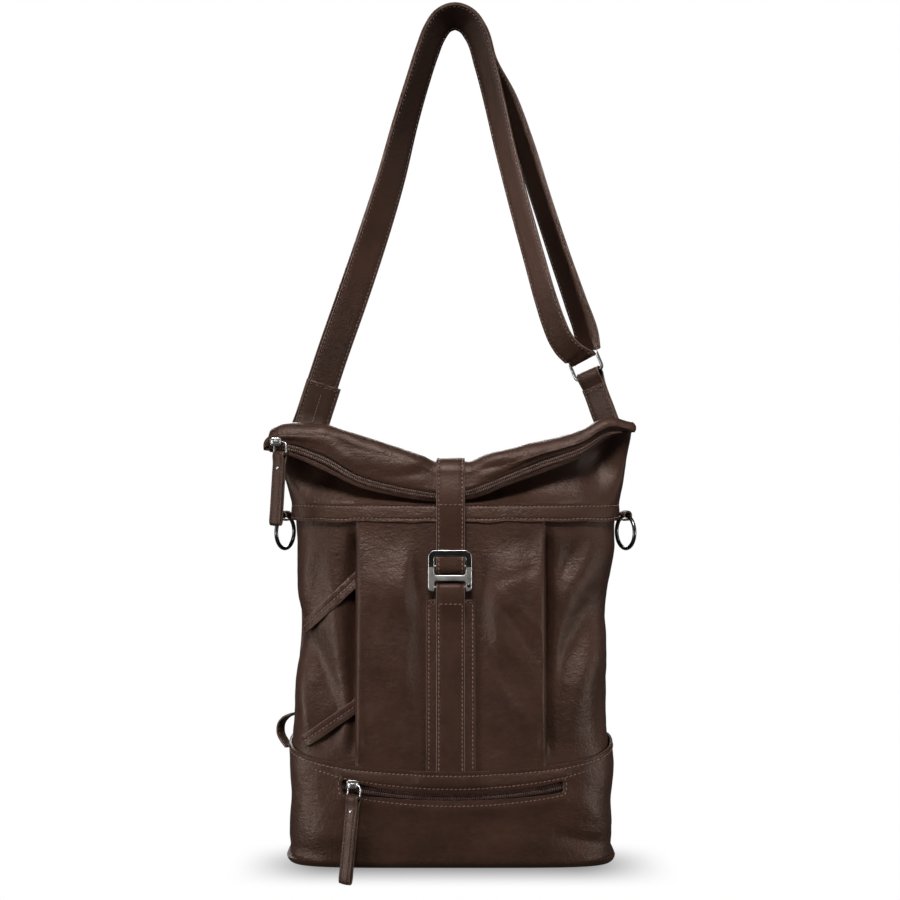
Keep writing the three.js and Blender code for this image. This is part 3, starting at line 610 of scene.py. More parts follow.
@dataclass(frozen=True)
class LeatherFinish(Finish):
    """Waxed hide: cloudy colour, pores, fine creases and an uneven sheen."""

    grain: float = 1.5
    grain_depth: float = 0.24
    crumple: float = 0.75
    gloss: Span = (0.40, 0.54)
    cloud: float = 46.0
    speck: float = 5.5
    wrinkle: float = 4.2
    swell: float = 17.0
    pebble: float = 2.7
    streak: float = 3.4
    patch: float = 34.0
    shine: float = 0.24
    shine_tint: tuple[float, ...] = (1.0, 0.80, 0.70, 1.0)

    def draw(self, sketch: NodeSketch) -> bpy.types.Material:
        """Draw the hide's colour, gloss and grain."""
        clouds = sketch.span(sketch.noise(self.cloud, 5, 0.6), 0, 1, (0.32, 0.68))
        specks = sketch.span(sketch.noise(self.speck, 4, 0.65), 0, 1, (0.3, 0.75))
        base = sketch.mix(clouds, self.shade(0.74), self.shade(1.24))
        mottled = sketch.mix(specks, base, self.shade(1.42))
        veined = sketch.mix(0.45, base, mottled)
        pores = sketch.node("ShaderNodeTexVoronoi",
                            {"Vector": sketch.where, "Scale": 1 / (self.grain * MM), "Randomness": 1.0},
                            feature="SMOOTH_F1").outputs["Distance"]
        wrinkles = sketch.noise(self.wrinkle, 4, 0.62, sketch.stretched((1.0, 1.0, 0.55), 24))
        swells = sketch.noise(self.swell, 3, 0.5)
        pebbles = sketch.noise(self.pebble, 2, 0.55)
        streaks = sketch.noise(self.streak, 3, 0.6, sketch.stretched((0.34, 0.34, 1.0), 40))
        coarse = sketch.mix(0.5, pebbles, streaks)
        patchy = sketch.mix(sketch.span(sketch.noise(self.patch, 2), 0.3, 1.0), (0.5, 0.5, 0.5, 1), coarse)
        relief = sketch.bump(swells, 1.3 * self.crumple, 0.55)
        relief = sketch.bump(patchy, 1.7 * self.crumple, 0.9, relief)
        relief = sketch.bump(wrinkles, 0.75 * self.crumple, 0.75, relief)
        relief = sketch.bump(pores, self.grain_depth, 0.8, relief)
        return sketch.dress(Base_Color=veined, Roughness=sketch.span(specks, *self.gloss, (0, 1)),
                            Normal=relief, Specular_IOR_Level=self.shine, Specular_Tint=self.shine_tint)


@dataclass(frozen=True)
class StrapFinish(LeatherFinish):
    """Smoother hide of the straps."""

    slot: Slot = Slot.STRAP
    grain: float = 1.2
    grain_depth: float = 0.16
    crumple: float = 0.4


@dataclass(frozen=True)
class EdgeFinish(Finish):
    """Painted cut edge of a strap."""

    def draw(self, sketch: NodeSketch) -> bpy.types.Material:
        """Draw a dark, slightly uneven paint."""
        uneven = sketch.span(sketch.noise(6, 3), 0, 1)
        relief = sketch.bump(sketch.noise(2.4, 3), 0.25, 0.5)
        return sketch.dress(Base_Color=sketch.mix(uneven, self.shade(0.8), self.shade(1.3)),
                            Roughness=sketch.span(uneven, 0.34, 0.52, (0, 1)), Normal=relief,
                            Specular_IOR_Level=0.25)


@dataclass(frozen=True)
class ThreadFinish(Finish):
    """Waxed thread with a fine twist."""

    def draw(self, sketch: NodeSketch) -> bpy.types.Material:
        """Draw the thread's colour, twist and dull gloss."""
        worn = sketch.span(sketch.noise(16, 3), 0, 1)
        twist = sketch.noise(0.5, 2)
        return sketch.dress(Base_Color=sketch.mix(worn, self.shade(0.7), self.shade(1.2)),
                            Roughness=sketch.span(twist, 0.5, 0.7), Normal=sketch.bump(twist, 0.2, 0.6),
                            Sheen_Weight=0.15)


@dataclass(frozen=True)
class TapeFinish(Finish):
    """Woven zip tape."""

    slot: Slot = Slot.TAPE
    weave: float = 0.9

    def draw(self, sketch: NodeSketch) -> bpy.types.Material:
        """Draw crossed yarns and a dull cloth."""
        yarns = [sketch.node("ShaderNodeTexWave",
                             {"Vector": sketch.where, "Scale": 1 / (20 * self.weave * MM), "Distortion": 0.4},
                             bands_direction=way).outputs["Fac"] for way in ("X", "Z")]
        crossed = sketch.mix(0.5, yarns[0], yarns[1])
        dust = sketch.span(sketch.noise(9, 4), 0, 1)
        return sketch.dress(Base_Color=sketch.mix(dust, self.shade(0.75), self.shade(1.3)),
                            Roughness=sketch.span(dust, 0.75, 0.9, (0, 1)),
                            Normal=sketch.bump(crossed, 0.25, 0.6), Specular_IOR_Level=0.12)


@dataclass(frozen=True)
class MetalFinish(Finish):
    """Plated metal with fine scratches."""

    slot: Slot = Slot.NICKEL
    gloss: Span = (0.14, 0.26)
    brushed: float = 0.0

    def draw(self, sketch: NodeSketch) -> bpy.types.Material:
        """Draw the plating's colour, scratches and handling marks."""
        smears = sketch.span(sketch.noise(8, 4, 0.6), 0, 1)
        scratch = sketch.noise(1.0, 2, 0.5, sketch.stretched((0.12, 1.0, 1.6), 8))
        relief = sketch.bump(scratch, 0.04 + 0.1 * self.brushed, 0.3 + 0.4 * self.brushed)
        return sketch.dress(Base_Color=sketch.mix(smears, self.shade(0.82), self.shade(1.1)), Metallic=1.0,
                            Roughness=sketch.span(smears, *self.gloss, (0, 1)), Normal=relief)


HIDE = LeatherFinish("chocolate hide", (0.0285, 0.0131, 0.0086))
STRAP_HIDE = StrapFinish("strap hide", (0.0280, 0.0127, 0.0084))
# Darker copy of the strap hide for the shoulder strap and its tabs; the extra darkness is painted shade.
SHADED_SHOULDER_HIDE = StrapFinish("shoulder strap hide with painted shade", (0.0195, 0.0088, 0.0058))
# Edge paint on the cut edges, set lighter than the hide as a painted highlight where the edges catch the
# light.
EDGE_PAINT_AND_HIGHLIGHT = EdgeFinish("edge paint with painted highlight", (0.062, 0.036, 0.027))
THREAD = ThreadFinish("waxed thread", (0.150, 0.080, 0.055))
DARK_THREAD = ThreadFinish("dark thread", (0.062, 0.034, 0.025))
TAPE = TapeFinish("zip tape", (0.011, 0.0062, 0.0048))
COIL = EdgeFinish("zip coil", (0.095, 0.055, 0.042))
# Darker copy of the zip coil for the pocket zip; the darkness is painted shade of the recessed slot.
SHADED_POCKET_COIL = EdgeFinish("pocket zip coil with painted shade", (0.055, 0.030, 0.023))
GUNMETAL = MetalFinish("dark nickel", (0.105, 0.103, 0.100), Slot.GUNMETAL)
# Lighter brushed metal of the buckle's lower half; it is also laid on the frame's front bevels as a painted
# edge highlight.
BRUSHED_AND_EDGE_HIGHLIGHT = MetalFinish("brushed dark nickel with painted edge highlight", (0.50, 0.49, 0.465), Slot.GUNMETAL, (0.34, 0.46), 1.0)
RING_STEEL = MetalFinish("ring steel", (0.20, 0.197, 0.19), gloss=(0.28, 0.40))
NICKEL = MetalFinish("satin nickel", (0.40, 0.395, 0.38), gloss=(0.30, 0.42))


# Straps

def curve_through(rows: Array, step: float) -> Array:
    """Run a smooth curve through rows of values whose first three are a place.

    Args:
        rows: Rows with a place and any further values.
        step: Distance between the points of the curve.

    Returns:
        The rows along the curve.
    """
    rows = np.asarray(rows, float)
    lengths = run_lengths(rows[:, :3])
    at = np.linspace(0, lengths[-1], max(2, int(lengths[-1] / step) + 1))
    row = np.clip(np.searchsorted(lengths, at, side="right") - 1, 0, len(rows) - 2)
    run = (lengths[row + 1] - lengths[row])[:, None]
    return blend_rows(rows, np.gradient(rows, lengths, axis=0), row, (at - lengths[row])[:, None] / run, run)


@dataclass(frozen=True)
class Frames:
    """A strap's course: places along it, its width's directions and the directions out of its face."""

    places: Array
    across: Array
    out: Array

    @classmethod
    def in_plane(cls, places: Array, across: Array) -> "Frames":
        """Give the frames of a strap that bends in one plane.

        Args:
            places: Places along it.
            across: Direction of its width, the same all along.

        Returns:
            The frames, with the outer face on the left of the course seen along the width.
        """
        along = unit_rows(np.gradient(places, axis=0))
        wide = np.broadcast_to(across, places.shape)
        return cls(places, wide, unit_rows(np.cross(wide, along)))

    def moved(self, aside: float, lift: float) -> Array:
        """Give the course moved across the strap and out of its face."""
        return self.places + self.across * aside + self.out * lift

    def cut(self, start: float, stop: float) -> "Frames":
        """Give the stretch between two shares of the course."""
        count = len(self.places) - 1
        keep = slice(int(round(start * count)), int(round(stop * count)) + 1)
        return Frames(self.places[keep], self.across[keep], self.out[keep])


@dataclass(frozen=True)
class Band:
    """A folded and stitched strap: width, thickness, how far in its seams lie and how domed it is."""

    width: float
    thick: float
    seam: float = 2.6
    furrow: float = 0.32
    dome: float = 0.25
    tip: float = 0.7
    tip_thin: float = 0.55

    def profile(self) -> tuple[Array, list[int]]:
        """Draw the strap's cross-section.

        Returns:
            Points across and out, and the finish number of each side: 0 face, 1 painted edge.
        """
        half, out = self.width / 2, self.thick / 2
        bevel = min(out * 0.85, 0.9)
        line = half - self.seam
        across = [-(half - bevel), -(line + 0.8), -line, -(line - 0.8), -line * 0.55, 0.0]
        across += [-a for a in across[-2::-1]]
        lift = [0.0, 0.04, -self.furrow, self.dome * 0.5, self.dome * 0.9, self.dome]
        lift += lift[-2::-1]
        face = [(a, out + n) for a, n in zip(across, lift)]
        turns = np.radians([60, 25, -25, -60])
        right = [(half - bevel + bevel * math.cos(t), (out - bevel) * np.sign(t) + bevel * math.sin(t))
                 for t in turns]
        back = [(a, -out - n * 0.6) for a, n in zip(across, lift)][::-1]
        left = [(-a, n) for a, n in right][::-1]
        points = np.array(face + right + back + left)
        flat, edge = len(face) - 1, len(right) + 1
        return points, [0] * flat + [1] * edge + [0] * flat + [1] * edge

    def rings(self, frames: Frames) -> tuple[Array, list[int]]:
        """Give the strap's rings along a course, and the finish number of each of their sides."""
        points, finish = self.profile()
        across, out = frames.across[:, None] * points[None, :, :1], frames.out[:, None] * points[None, :, 1:]
        return frames.places[:, None] + across + out, finish

    def sweep(self, draft: MeshDraft, frames: Frames) -> None:
        """Sweep the strap along its course, with thinned ends.

        Args:
            draft: Draft that takes the strap.
            frames: The course.
        """
        rings, finish = self.rings(frames)
        along = np.cross(frames.out, frames.across)[:, None]
        tips = []
        for row, way in ((0, -1), (-1, 1)):
            flat = np.sum((rings[row] - frames.places[row]) * frames.out[row], axis=1, keepdims=True)
            tips.append(rings[row] - frames.out[row] * flat * self.tip_thin + along[row] * way * self.tip)
        draft.add_tube(np.concatenate([tips[:1], rings, tips[1:]]), False, finish, 1)

    def sew(self, draft: MeshDraft, frames: Frames, both: bool = False) -> None:
        """Sew the strap along both its edges.

        Args:
            draft: Draft that takes the stitches.
            frames: The stretch that is sewn.
            both: Whether the stitches show on the inner face too.
        """
        line, lift = self.width / 2 - self.seam, self.thick / 2 - self.furrow
        for aside in (-line, line):
            Thread().sew(draft, frames.moved(aside, lift), frames.out, THREAD_NUMBER)
            if both:
                Thread().sew(draft, frames.moved(aside, -lift - 0.05), -frames.out, THREAD_NUMBER)

    def tack(self, draft: MeshDraft, frames: Frames, share: float) -> None:
        """Sew one row straight across the strap.

        Args:
            draft: Draft that takes the stitches.
            frames: The strap's course.
            share: Where along the course the row lies.
        """
        spot = frames.cut(share, share)
        line = np.linspace(-1, 1, 12)[:, None] * (self.width / 2 - self.seam)
        path = spot.places + spot.across * line + spot.out * (self.thick / 2 + self.dome * 0.6)
        Thread().sew(draft, path, np.repeat(spot.out, len(path), axis=0), THREAD_NUMBER)


# Form of the bag

@dataclass(frozen=True)
class Section:
    """Outline of the shell at one height: half widths, half depths and squareness."""

    z: float
    left: float
    right: float
    front: float
    back: float
    power: float


@dataclass(frozen=True)
class BagForm:
    """The shell that the leather pieces of the body follow."""

    leather: float = 2.2
    hem_bottom: float = -502.0
    hem_top: float = -484.0
    wall_top: float = -492.0
    boot_side: float = -718.0
    boot_dip: float = 25.0
    boot_overlap: float = 9.0
    boot_in: float = 1.2
    floor: float = -838.0
    foot: float = 9.0
    panel_left: float = -95.0
    panel_right: float = 90.5
    columns: int = 480
    groove: float = 11.0
    groove_wide: float = 6.0
    groove_fade: Span = (-680.0, -570.0)
    boot_left: float = 160.0
    boot_right: float = 155.0
    boot_power: float = 4.6
    sections: tuple[Section, ...] = (
        Section(-837, 161, 157, 62, 60, 5.0),
        Section(-742, 160, 155, 61, 58, 4.6),
        Section(-682, 157, 154, 58, 54, 4.0),
        Section(-602, 152, 151, 53, 46, 3.3),
        Section(-532, 155, 159, 47, 36, 2.9),
        Section(-480, 158, 163, 43, 28, 2.7),
    )
    creases: tuple[Crease, ...] = (
        Crease((-148, -602), (-112, -692), -6.5, 15),
        Crease((-122, -520), (-106, -650), 4.5, 12),
        Crease((-138, -520), (-150, -585), 3.5, 10),
        Crease((-146, -640), (-142, -712), 4.5, 9),
        Crease((-110, -690), (-128, -722), -4.0, 9),
        Crease((152, -514), (102, -592), 3.6, 17),
        Crease((138, -578), (102, -656), -6.5, 14),
        Crease((142, -618), (112, -704), 4.2, 14),
        Crease((122, -524), (104, -556), -5.0, 9),
        Crease((106, -660), (102, -712), -2.0, 9),
        Crease((150, -660), (144, -716), -3.0, 9),
    )
    ripples: tuple[Ripple, ...] = (
        Ripple(62, 1.6, 3.1, (1, 1, 1.5)), Ripple(24, 0.6, 7.7, (1, 1, 1.3)), Ripple(9, 0.22, 1.3))

    @property
    def boot_out(self) -> float:
        """How far the boot's outer face stands off the shell."""
        return self.boot_in + self.leather

    def size(self, name: str, z: Array) -> Array:
        """Read one size of the sections at a height."""
        return smooth_column([s.z for s in self.sections], [getattr(s, name) for s in self.sections], z)

    def turns(self) -> Array:
        """Give the places round the shell, from the front's middle by the right, back and left."""
        return np.arange(self.columns) / self.columns

    def outline(self, turn: Array, power: Array) -> tuple[Array, Array]:
        """Find the unit outline of a squareness.

        Args:
            turn: Places round the shell, from 0 to 1.
            power: Squareness at each place.

        Returns:
            Unit places across and in depth.
        """
        angles = np.linspace(0, np.pi / 2, 1500)
        wide, deep, typical = 160.0, 58.0, 3.6
        x, y = wide * np.sin(angles) ** (2 / typical), deep * np.cos(angles).clip(0) ** (2 / typical)
        lengths = run_lengths(rows_of(x, y))
        part = np.mod(turn, 1.0) * 4
        quarter = np.floor(part).astype(int)
        share = np.where(quarter % 2 == 1, 1 - part + quarter, part - quarter)
        angle = np.interp(share * lengths[-1], lengths, angles)
        side = np.where(quarter < 2, 1.0, -1.0)
        face = np.where((quarter == 0) | (quarter == 3), -1.0, 1.0)
        return side * np.sin(angle) ** (2 / power), face * np.cos(angle).clip(0) ** (2 / power)

    def point(self, turn: Array, z: Array, grow: float | Array) -> tuple[Array, Array]:
        """Find points of the shell and their level normals.

        Args:
            turn: Places round the shell.
            z: Heights.
            grow: How far out of the shell the points lie.

        Returns:
            Points and unit normals.
        """
        turn, z = np.broadcast_arrays(np.asarray(turn, float), np.asarray(z, float))
        power = self.size("power", z)
        ux, uy = self.outline(turn, power)
        wide = np.where(ux < 0, self.size("left", z), self.size("right", z))
        deep = np.where(uy < 0, self.size("front", z), self.size("back", z))
        points = rows_of(ux * (wide + grow), uy * (deep + grow), z)
        out = rows_of(np.sign(ux) * np.abs(ux) ** (power - 1) / wide,
                        np.sign(uy) * np.abs(uy) ** (power - 1) / deep, np.zeros_like(z))
        return points, unit_rows(out)

    def front_y(self, x: Array, z: Array) -> Array:
        """Give the depth of the shell's front face at places across and heights."""
        wide = np.where(x < 0, self.size("left", z), self.size("right", z))
        power = self.size("power", z)
        share = np.minimum(np.abs(x) / wide, 1.0)
        return -self.size("front", z) * (1 - share ** power) ** (1 / power)

    def front_out(self, x: Array, z: Array) -> Array:
        """Give the level normals of the shell's front face at places across and heights."""
        slope = self.front_y(x + 0.5, z) - self.front_y(x - 0.5, z)
        return unit_rows(rows_of(slope, -1.0, 0.0))

    def boot_edge(self, turn: Array) -> Array:
        """Give the height of the boot's upper edge, which dips at the front."""
        ux, uy = self.outline(turn, np.full_like(turn, self.boot_power))
        return self.boot_side - self.boot_dip * np.where(uy < 0, np.sqrt((1 - ux * ux).clip(0)), 0.0)

    def front_boot_edge(self, x: Array) -> Array:
        """Give the height of the boot's upper edge at places across the front."""
        share = np.asarray(x, float) / self.boot_left
        return self.boot_side - self.boot_dip * np.sqrt((1 - share ** 2).clip(0))

    def relief(self, points: Array) -> Array:
        """Give how far the wall's folds and waves stand out at points of the shell.

        Args:
            points: Points on the shell.

        Returns:
            Heights out of the shell.
        """
        x, y, z = points[..., 0], points[..., 1], points[..., 2]
        folds = sum(crease.at(x, z) for crease in self.creases) * (y < 0)
        aside = np.maximum(self.panel_left - x, x - self.panel_right)
        beside = np.where(y < 0, ease(2, 20, aside), 1.0)
        calm = ease(2, 30, self.hem_bottom - z) * ease(0, 26, z - self.boot_side + 20)
        deep = self.groove * (0.5 + 0.5 * ease(*self.groove_fade, z))
        groove = np.where(y < 0, deep * bell(aside - 1, self.groove_wide), 0.0)
        return (folds + ripple_sum(self.ripples, points)) * calm * beside - groove * calm


# Leather shell

@dataclass
class BodyWall:
    """The tube of hide between the hem and the boot."""

    form: BagForm
    rows: int = 96
    inner_rows: int = 24

    def face(self, rows: int, grow: float) -> Array:
        """Lay out one face of the wall, from its top down behind the boot's edge.

        Args:
            rows: Rows of points.
            grow: How far out of the shell the face lies.

        Returns:
            The points by row and column.
        """
        form, turn = self.form, self.form.turns()
        low = form.boot_edge(turn) - form.boot_overlap
        z = form.wall_top + (low - form.wall_top) * np.linspace(0, 1, rows)[:, None]
        points, out = form.point(turn[None], z, grow)
        return points + out * form.relief(points)[..., None]

    def build(self) -> None:
        """Build the wall as one sheet that goes around."""
        draft = MeshDraft()
        draft.add_sheet(self.face(self.rows, 0.0), self.face(self.inner_rows, -self.form.leather), True)
        draft.put("body_hide", [HIDE], "body_wall")


@dataclass
class Boot:
    """The deep leather foot with a slot for the pocket's zip."""

    form: BagForm
    slot_left: float = -106.0
    slot_right: float = 105.0
    slot_below: float = 21.0
    slot_sag: float = 4.0
    slot_half: float = 5.8
    slot_pinch: float = 0.6
    slot_left_more: float = 1.4
    slot_round: float = 2.6
    strap_x: float = -2.5
    strap_lift: float = 4.4
    side_in: float = 3.0
    seam_reach: float = 146.0
    edge_seam: float = 4.2
    seam_above: float = 8.0
    seam_below: float = 8.6
    edge_thin: float = 0.3
    puff: float = 1.3
    puff_at: float = 11.0
    ripples: tuple[Ripple, ...] = (Ripple(58, 2.0, 11.4), Ripple(20, 0.55, 5.2), Ripple(8, 0.16, 2.9))
    creases: tuple[Crease, ...] = (
        Crease((-166, -822), (-122, -830), -4.5, 7),
        Crease((-140, -800), (-70, -812), 2.6, 16),
        Crease((104, -806), (162, -826), -4.5, 8),
        Crease((128, -776), (160, -806), 2.6, 12),
        Crease((30, -818), (90, -814), 1.8, 13),
    )

    def slot_z(self, x: Array) -> Array:
        """Give the height of the slot's middle line at places across the front."""
        x = np.asarray(x, float)
        sag = self.slot_sag * (1 - (x / self.slot_left) ** 2)
        return self.form.front_boot_edge(x) - self.slot_below - sag

    def relief(self, points: Array) -> Array:
        """Give how far the boot's waves, dents and seams stand out.

        Args:
            points: Points on the boot's shell.

        Returns:
            Heights out of the shell.
        """
        x, z = points[..., 0], points[..., 2]
        form, front = self.form, points[..., 1] < 0
        dents = sum(crease.at(x, z) for crease in self.creases) * front
        front_edge = form.front_boot_edge(np.clip(x, -form.boot_left, form.boot_left))
        below = np.where(front, front_edge, form.boot_side) - z
        calm = ease(0, 22, below) * 0.75 + 0.25
        lift = ease(3, 34, z - form.floor)
        pocket = np.where(front, z - self.slot_z(np.clip(x, -125, 125)), 99.0)
        inside = ease(-12, -2, np.minimum(x - self.slot_left, self.slot_right - x))
        puff = self.puff * inside * (bell(pocket - self.puff_at, 5.5) + bell(pocket + self.puff_at, 7))
        rows = bell(pocket + self.seam_below, 1.0) + bell(pocket - self.seam_above, 1.0)
        furrow = 0.5 * bell(below - self.edge_seam, 1.1) + 0.45 * inside * rows
        over_strap = (1 - ease(22, 44, np.abs(x - self.strap_x))) * (1 - ease(5, 26, below)) * front
        narrow = self.side_in * ease(120, 158, np.abs(x)) * ease(20, 60, below)
        waves = (dents + ripple_sum(self.ripples, points)) * calm * lift
        return waves + puff - furrow + self.strap_lift * over_strap - narrow

    def face(self, grow: float, floor: float) -> tuple[Array, Array, tuple[int, int]]:
        """Lay out one face of the boot, from its upper edge to the middle of its base.

        Args:
            grow: How far out of the shell the face lies.
            floor: Height of the face's base.

        Returns:
            The points, the mask of the slot's faces, and the slot's two rows.
        """
        form, turn = self.form, self.form.turns()
        ux, uy = form.outline(turn, np.full_like(turn, form.boot_power))
        x = ux * np.where(ux < 0, form.boot_left, form.boot_right)
        edge = form.boot_edge(turn)
        end = np.minimum(x - self.slot_left, self.slot_right - x)
        near = 1 - np.clip(end / self.slot_round, 0, 1)
        tall = self.slot_half * (self.slot_pinch + (1 - self.slot_pinch) * (x / self.slot_left) ** 2)
        tall = tall + self.slot_left_more * ease(60, 100, -x)
        half = np.maximum(tall * np.sqrt(1 - near ** 2), 0.5)
        middle = np.where(uy < 0, self.slot_z(x), edge - self.slot_below)
        base = floor + form.foot
        stops = [edge, middle + half, middle - half, np.full_like(edge, base)]
        shares = [np.array([0, 0.02, 0.06, *np.linspace(0.12, 1, 20)]), np.linspace(0, 1, 4),
                  np.linspace(0, 1, 30)]
        heights = [stops[0][None]]
        for above, below, share in zip(stops, stops[1:], shares):
            heights.append(above + (below - above) * share[1:, None])
        z = np.concatenate(heights)
        points, out = form.point(turn[None], z, grow)
        rows = [points + out * self.relief(points)[..., None]]
        for degrees in np.linspace(10, 90, 9):
            angle = math.radians(degrees)
            drop = np.full_like(turn, base - form.foot * math.sin(angle))
            ring, _ = form.point(turn, drop, grow - form.foot * (1 - math.cos(angle)))
            rows.append(ring[None])
        hub = np.array([0.0, 0.0, floor])
        rows.extend((hub + (rows[-1][0] - hub) * share)[None] for share in (0.75, 0.4, 0.06))
        grid = np.concatenate(rows)
        high, low = len(shares[0]) - 1, len(shares[0]) + len(shares[1]) - 2
        opened = (uy < 0) & (end > 0)
        keep = np.ones((len(grid) - 1, len(turn)), bool)
        keep[high:low] = ~(opened & np.roll(opened, -1))
        return grid, keep, (high, low)

    def build(self) -> None:
        """Build the boot with its slot cut through, and sew it."""
        form = self.form
        outer, keep, (high, low) = self.face(form.boot_out, form.floor)
        inner, _, _ = self.face(form.boot_in, form.floor + form.leather)
        outer[0] -= self.edge_thin * (outer[0] - inner[0])
        cols = form.columns
        draft = MeshDraft()
        a, b = draft.add_points(outer), draft.add_points(inner)
        for first in (a, b):
            draft.add_grid(first, len(outer), cols, True, 0, keep)
            last = first + (len(outer) - 1) * cols
            draft.add_faces([tuple(range(last, last + cols))])
        line = np.arange(cols)
        draft.add_rim((a + line).tolist(), (b + line).tolist(), True, 1)
        opened = np.flatnonzero(~keep[high])
        gap = np.argmax(np.diff(opened)) if len(opened) else 0
        order = np.concatenate([opened[gap + 1:], opened[:gap + 1], [(opened[gap] + 1) % cols]])
        loop = np.concatenate([high * cols + order, (np.arange(high + 1, low)) * cols + order[-1],
                               low * cols + order[::-1], np.arange(low - 1, high, -1) * cols + order[0]])
        draft.add_rim((a + loop).tolist(), (b + loop).tolist(), True, 1)
        draft.put("boot_hide", [HIDE, EDGE_PAINT_AND_HIGHLIGHT], "base_boot")
        self.sew()

    def on_front(self, x: Array, z: Array) -> tuple[Array, Array]:
        """Find points and normals on the boot's outer face at places across the front.

        Args:
            x: Places across.
            z: Heights.

        Returns:
            Points and unit normals.
        """
        form = self.form
        flat = rows_of(x, form.front_y(x, z) - form.boot_out, z)
        return rows_of(x, flat[:, 1] - self.relief(flat), z), form.front_out(x, z)

    def sew(self) -> None:
        """Sew the rows along the upper edge and around the slot."""
        form, thread, draft = self.form, Thread(), MeshDraft()
        turn = np.linspace(0, 1, 900)
        points, out = form.point(turn, form.boot_edge(turn) - self.edge_seam, form.boot_out)
        thread.sew(draft, points + out * self.relief(points)[:, None], out)
        x = np.linspace(self.slot_left - 2, self.slot_right + 2, 240)
        thread.sew(draft, *self.on_front(x, self.slot_z(x) - self.seam_below))
        wide = np.linspace(-self.seam_reach, self.seam_reach, 300)
        thread.sew(draft, *self.on_front(wide, self.slot_z(wide) + self.seam_above))
        bow = np.linspace(-1, 1, 24)
        middle, half = (self.seam_above - self.seam_below) / 2, (self.seam_above + self.seam_below) / 2
        for at in (x[0], x[-1]):
            side = np.sign(at) * 3.0 * np.sqrt(1 - bow * bow)
            thread.sew(draft, *self.on_front(at + side, self.slot_z(at) + middle + bow * half))
        draft.put("boot_stitches", [THREAD])


@dataclass(frozen=True)
class RollRow:
    """The rolled top at one place across: crest, forward lean and the two lips of the mouth."""

    x: float
    crest: float
    lean: float
    upper: float
    lower: float


class RollPart(Enum):
    """Stretches of the rolled top, from its hem to its mouth."""

    HEM = "hem"
    RISE = "rise"
    TURN = "turn"
    FLAP = "flap"


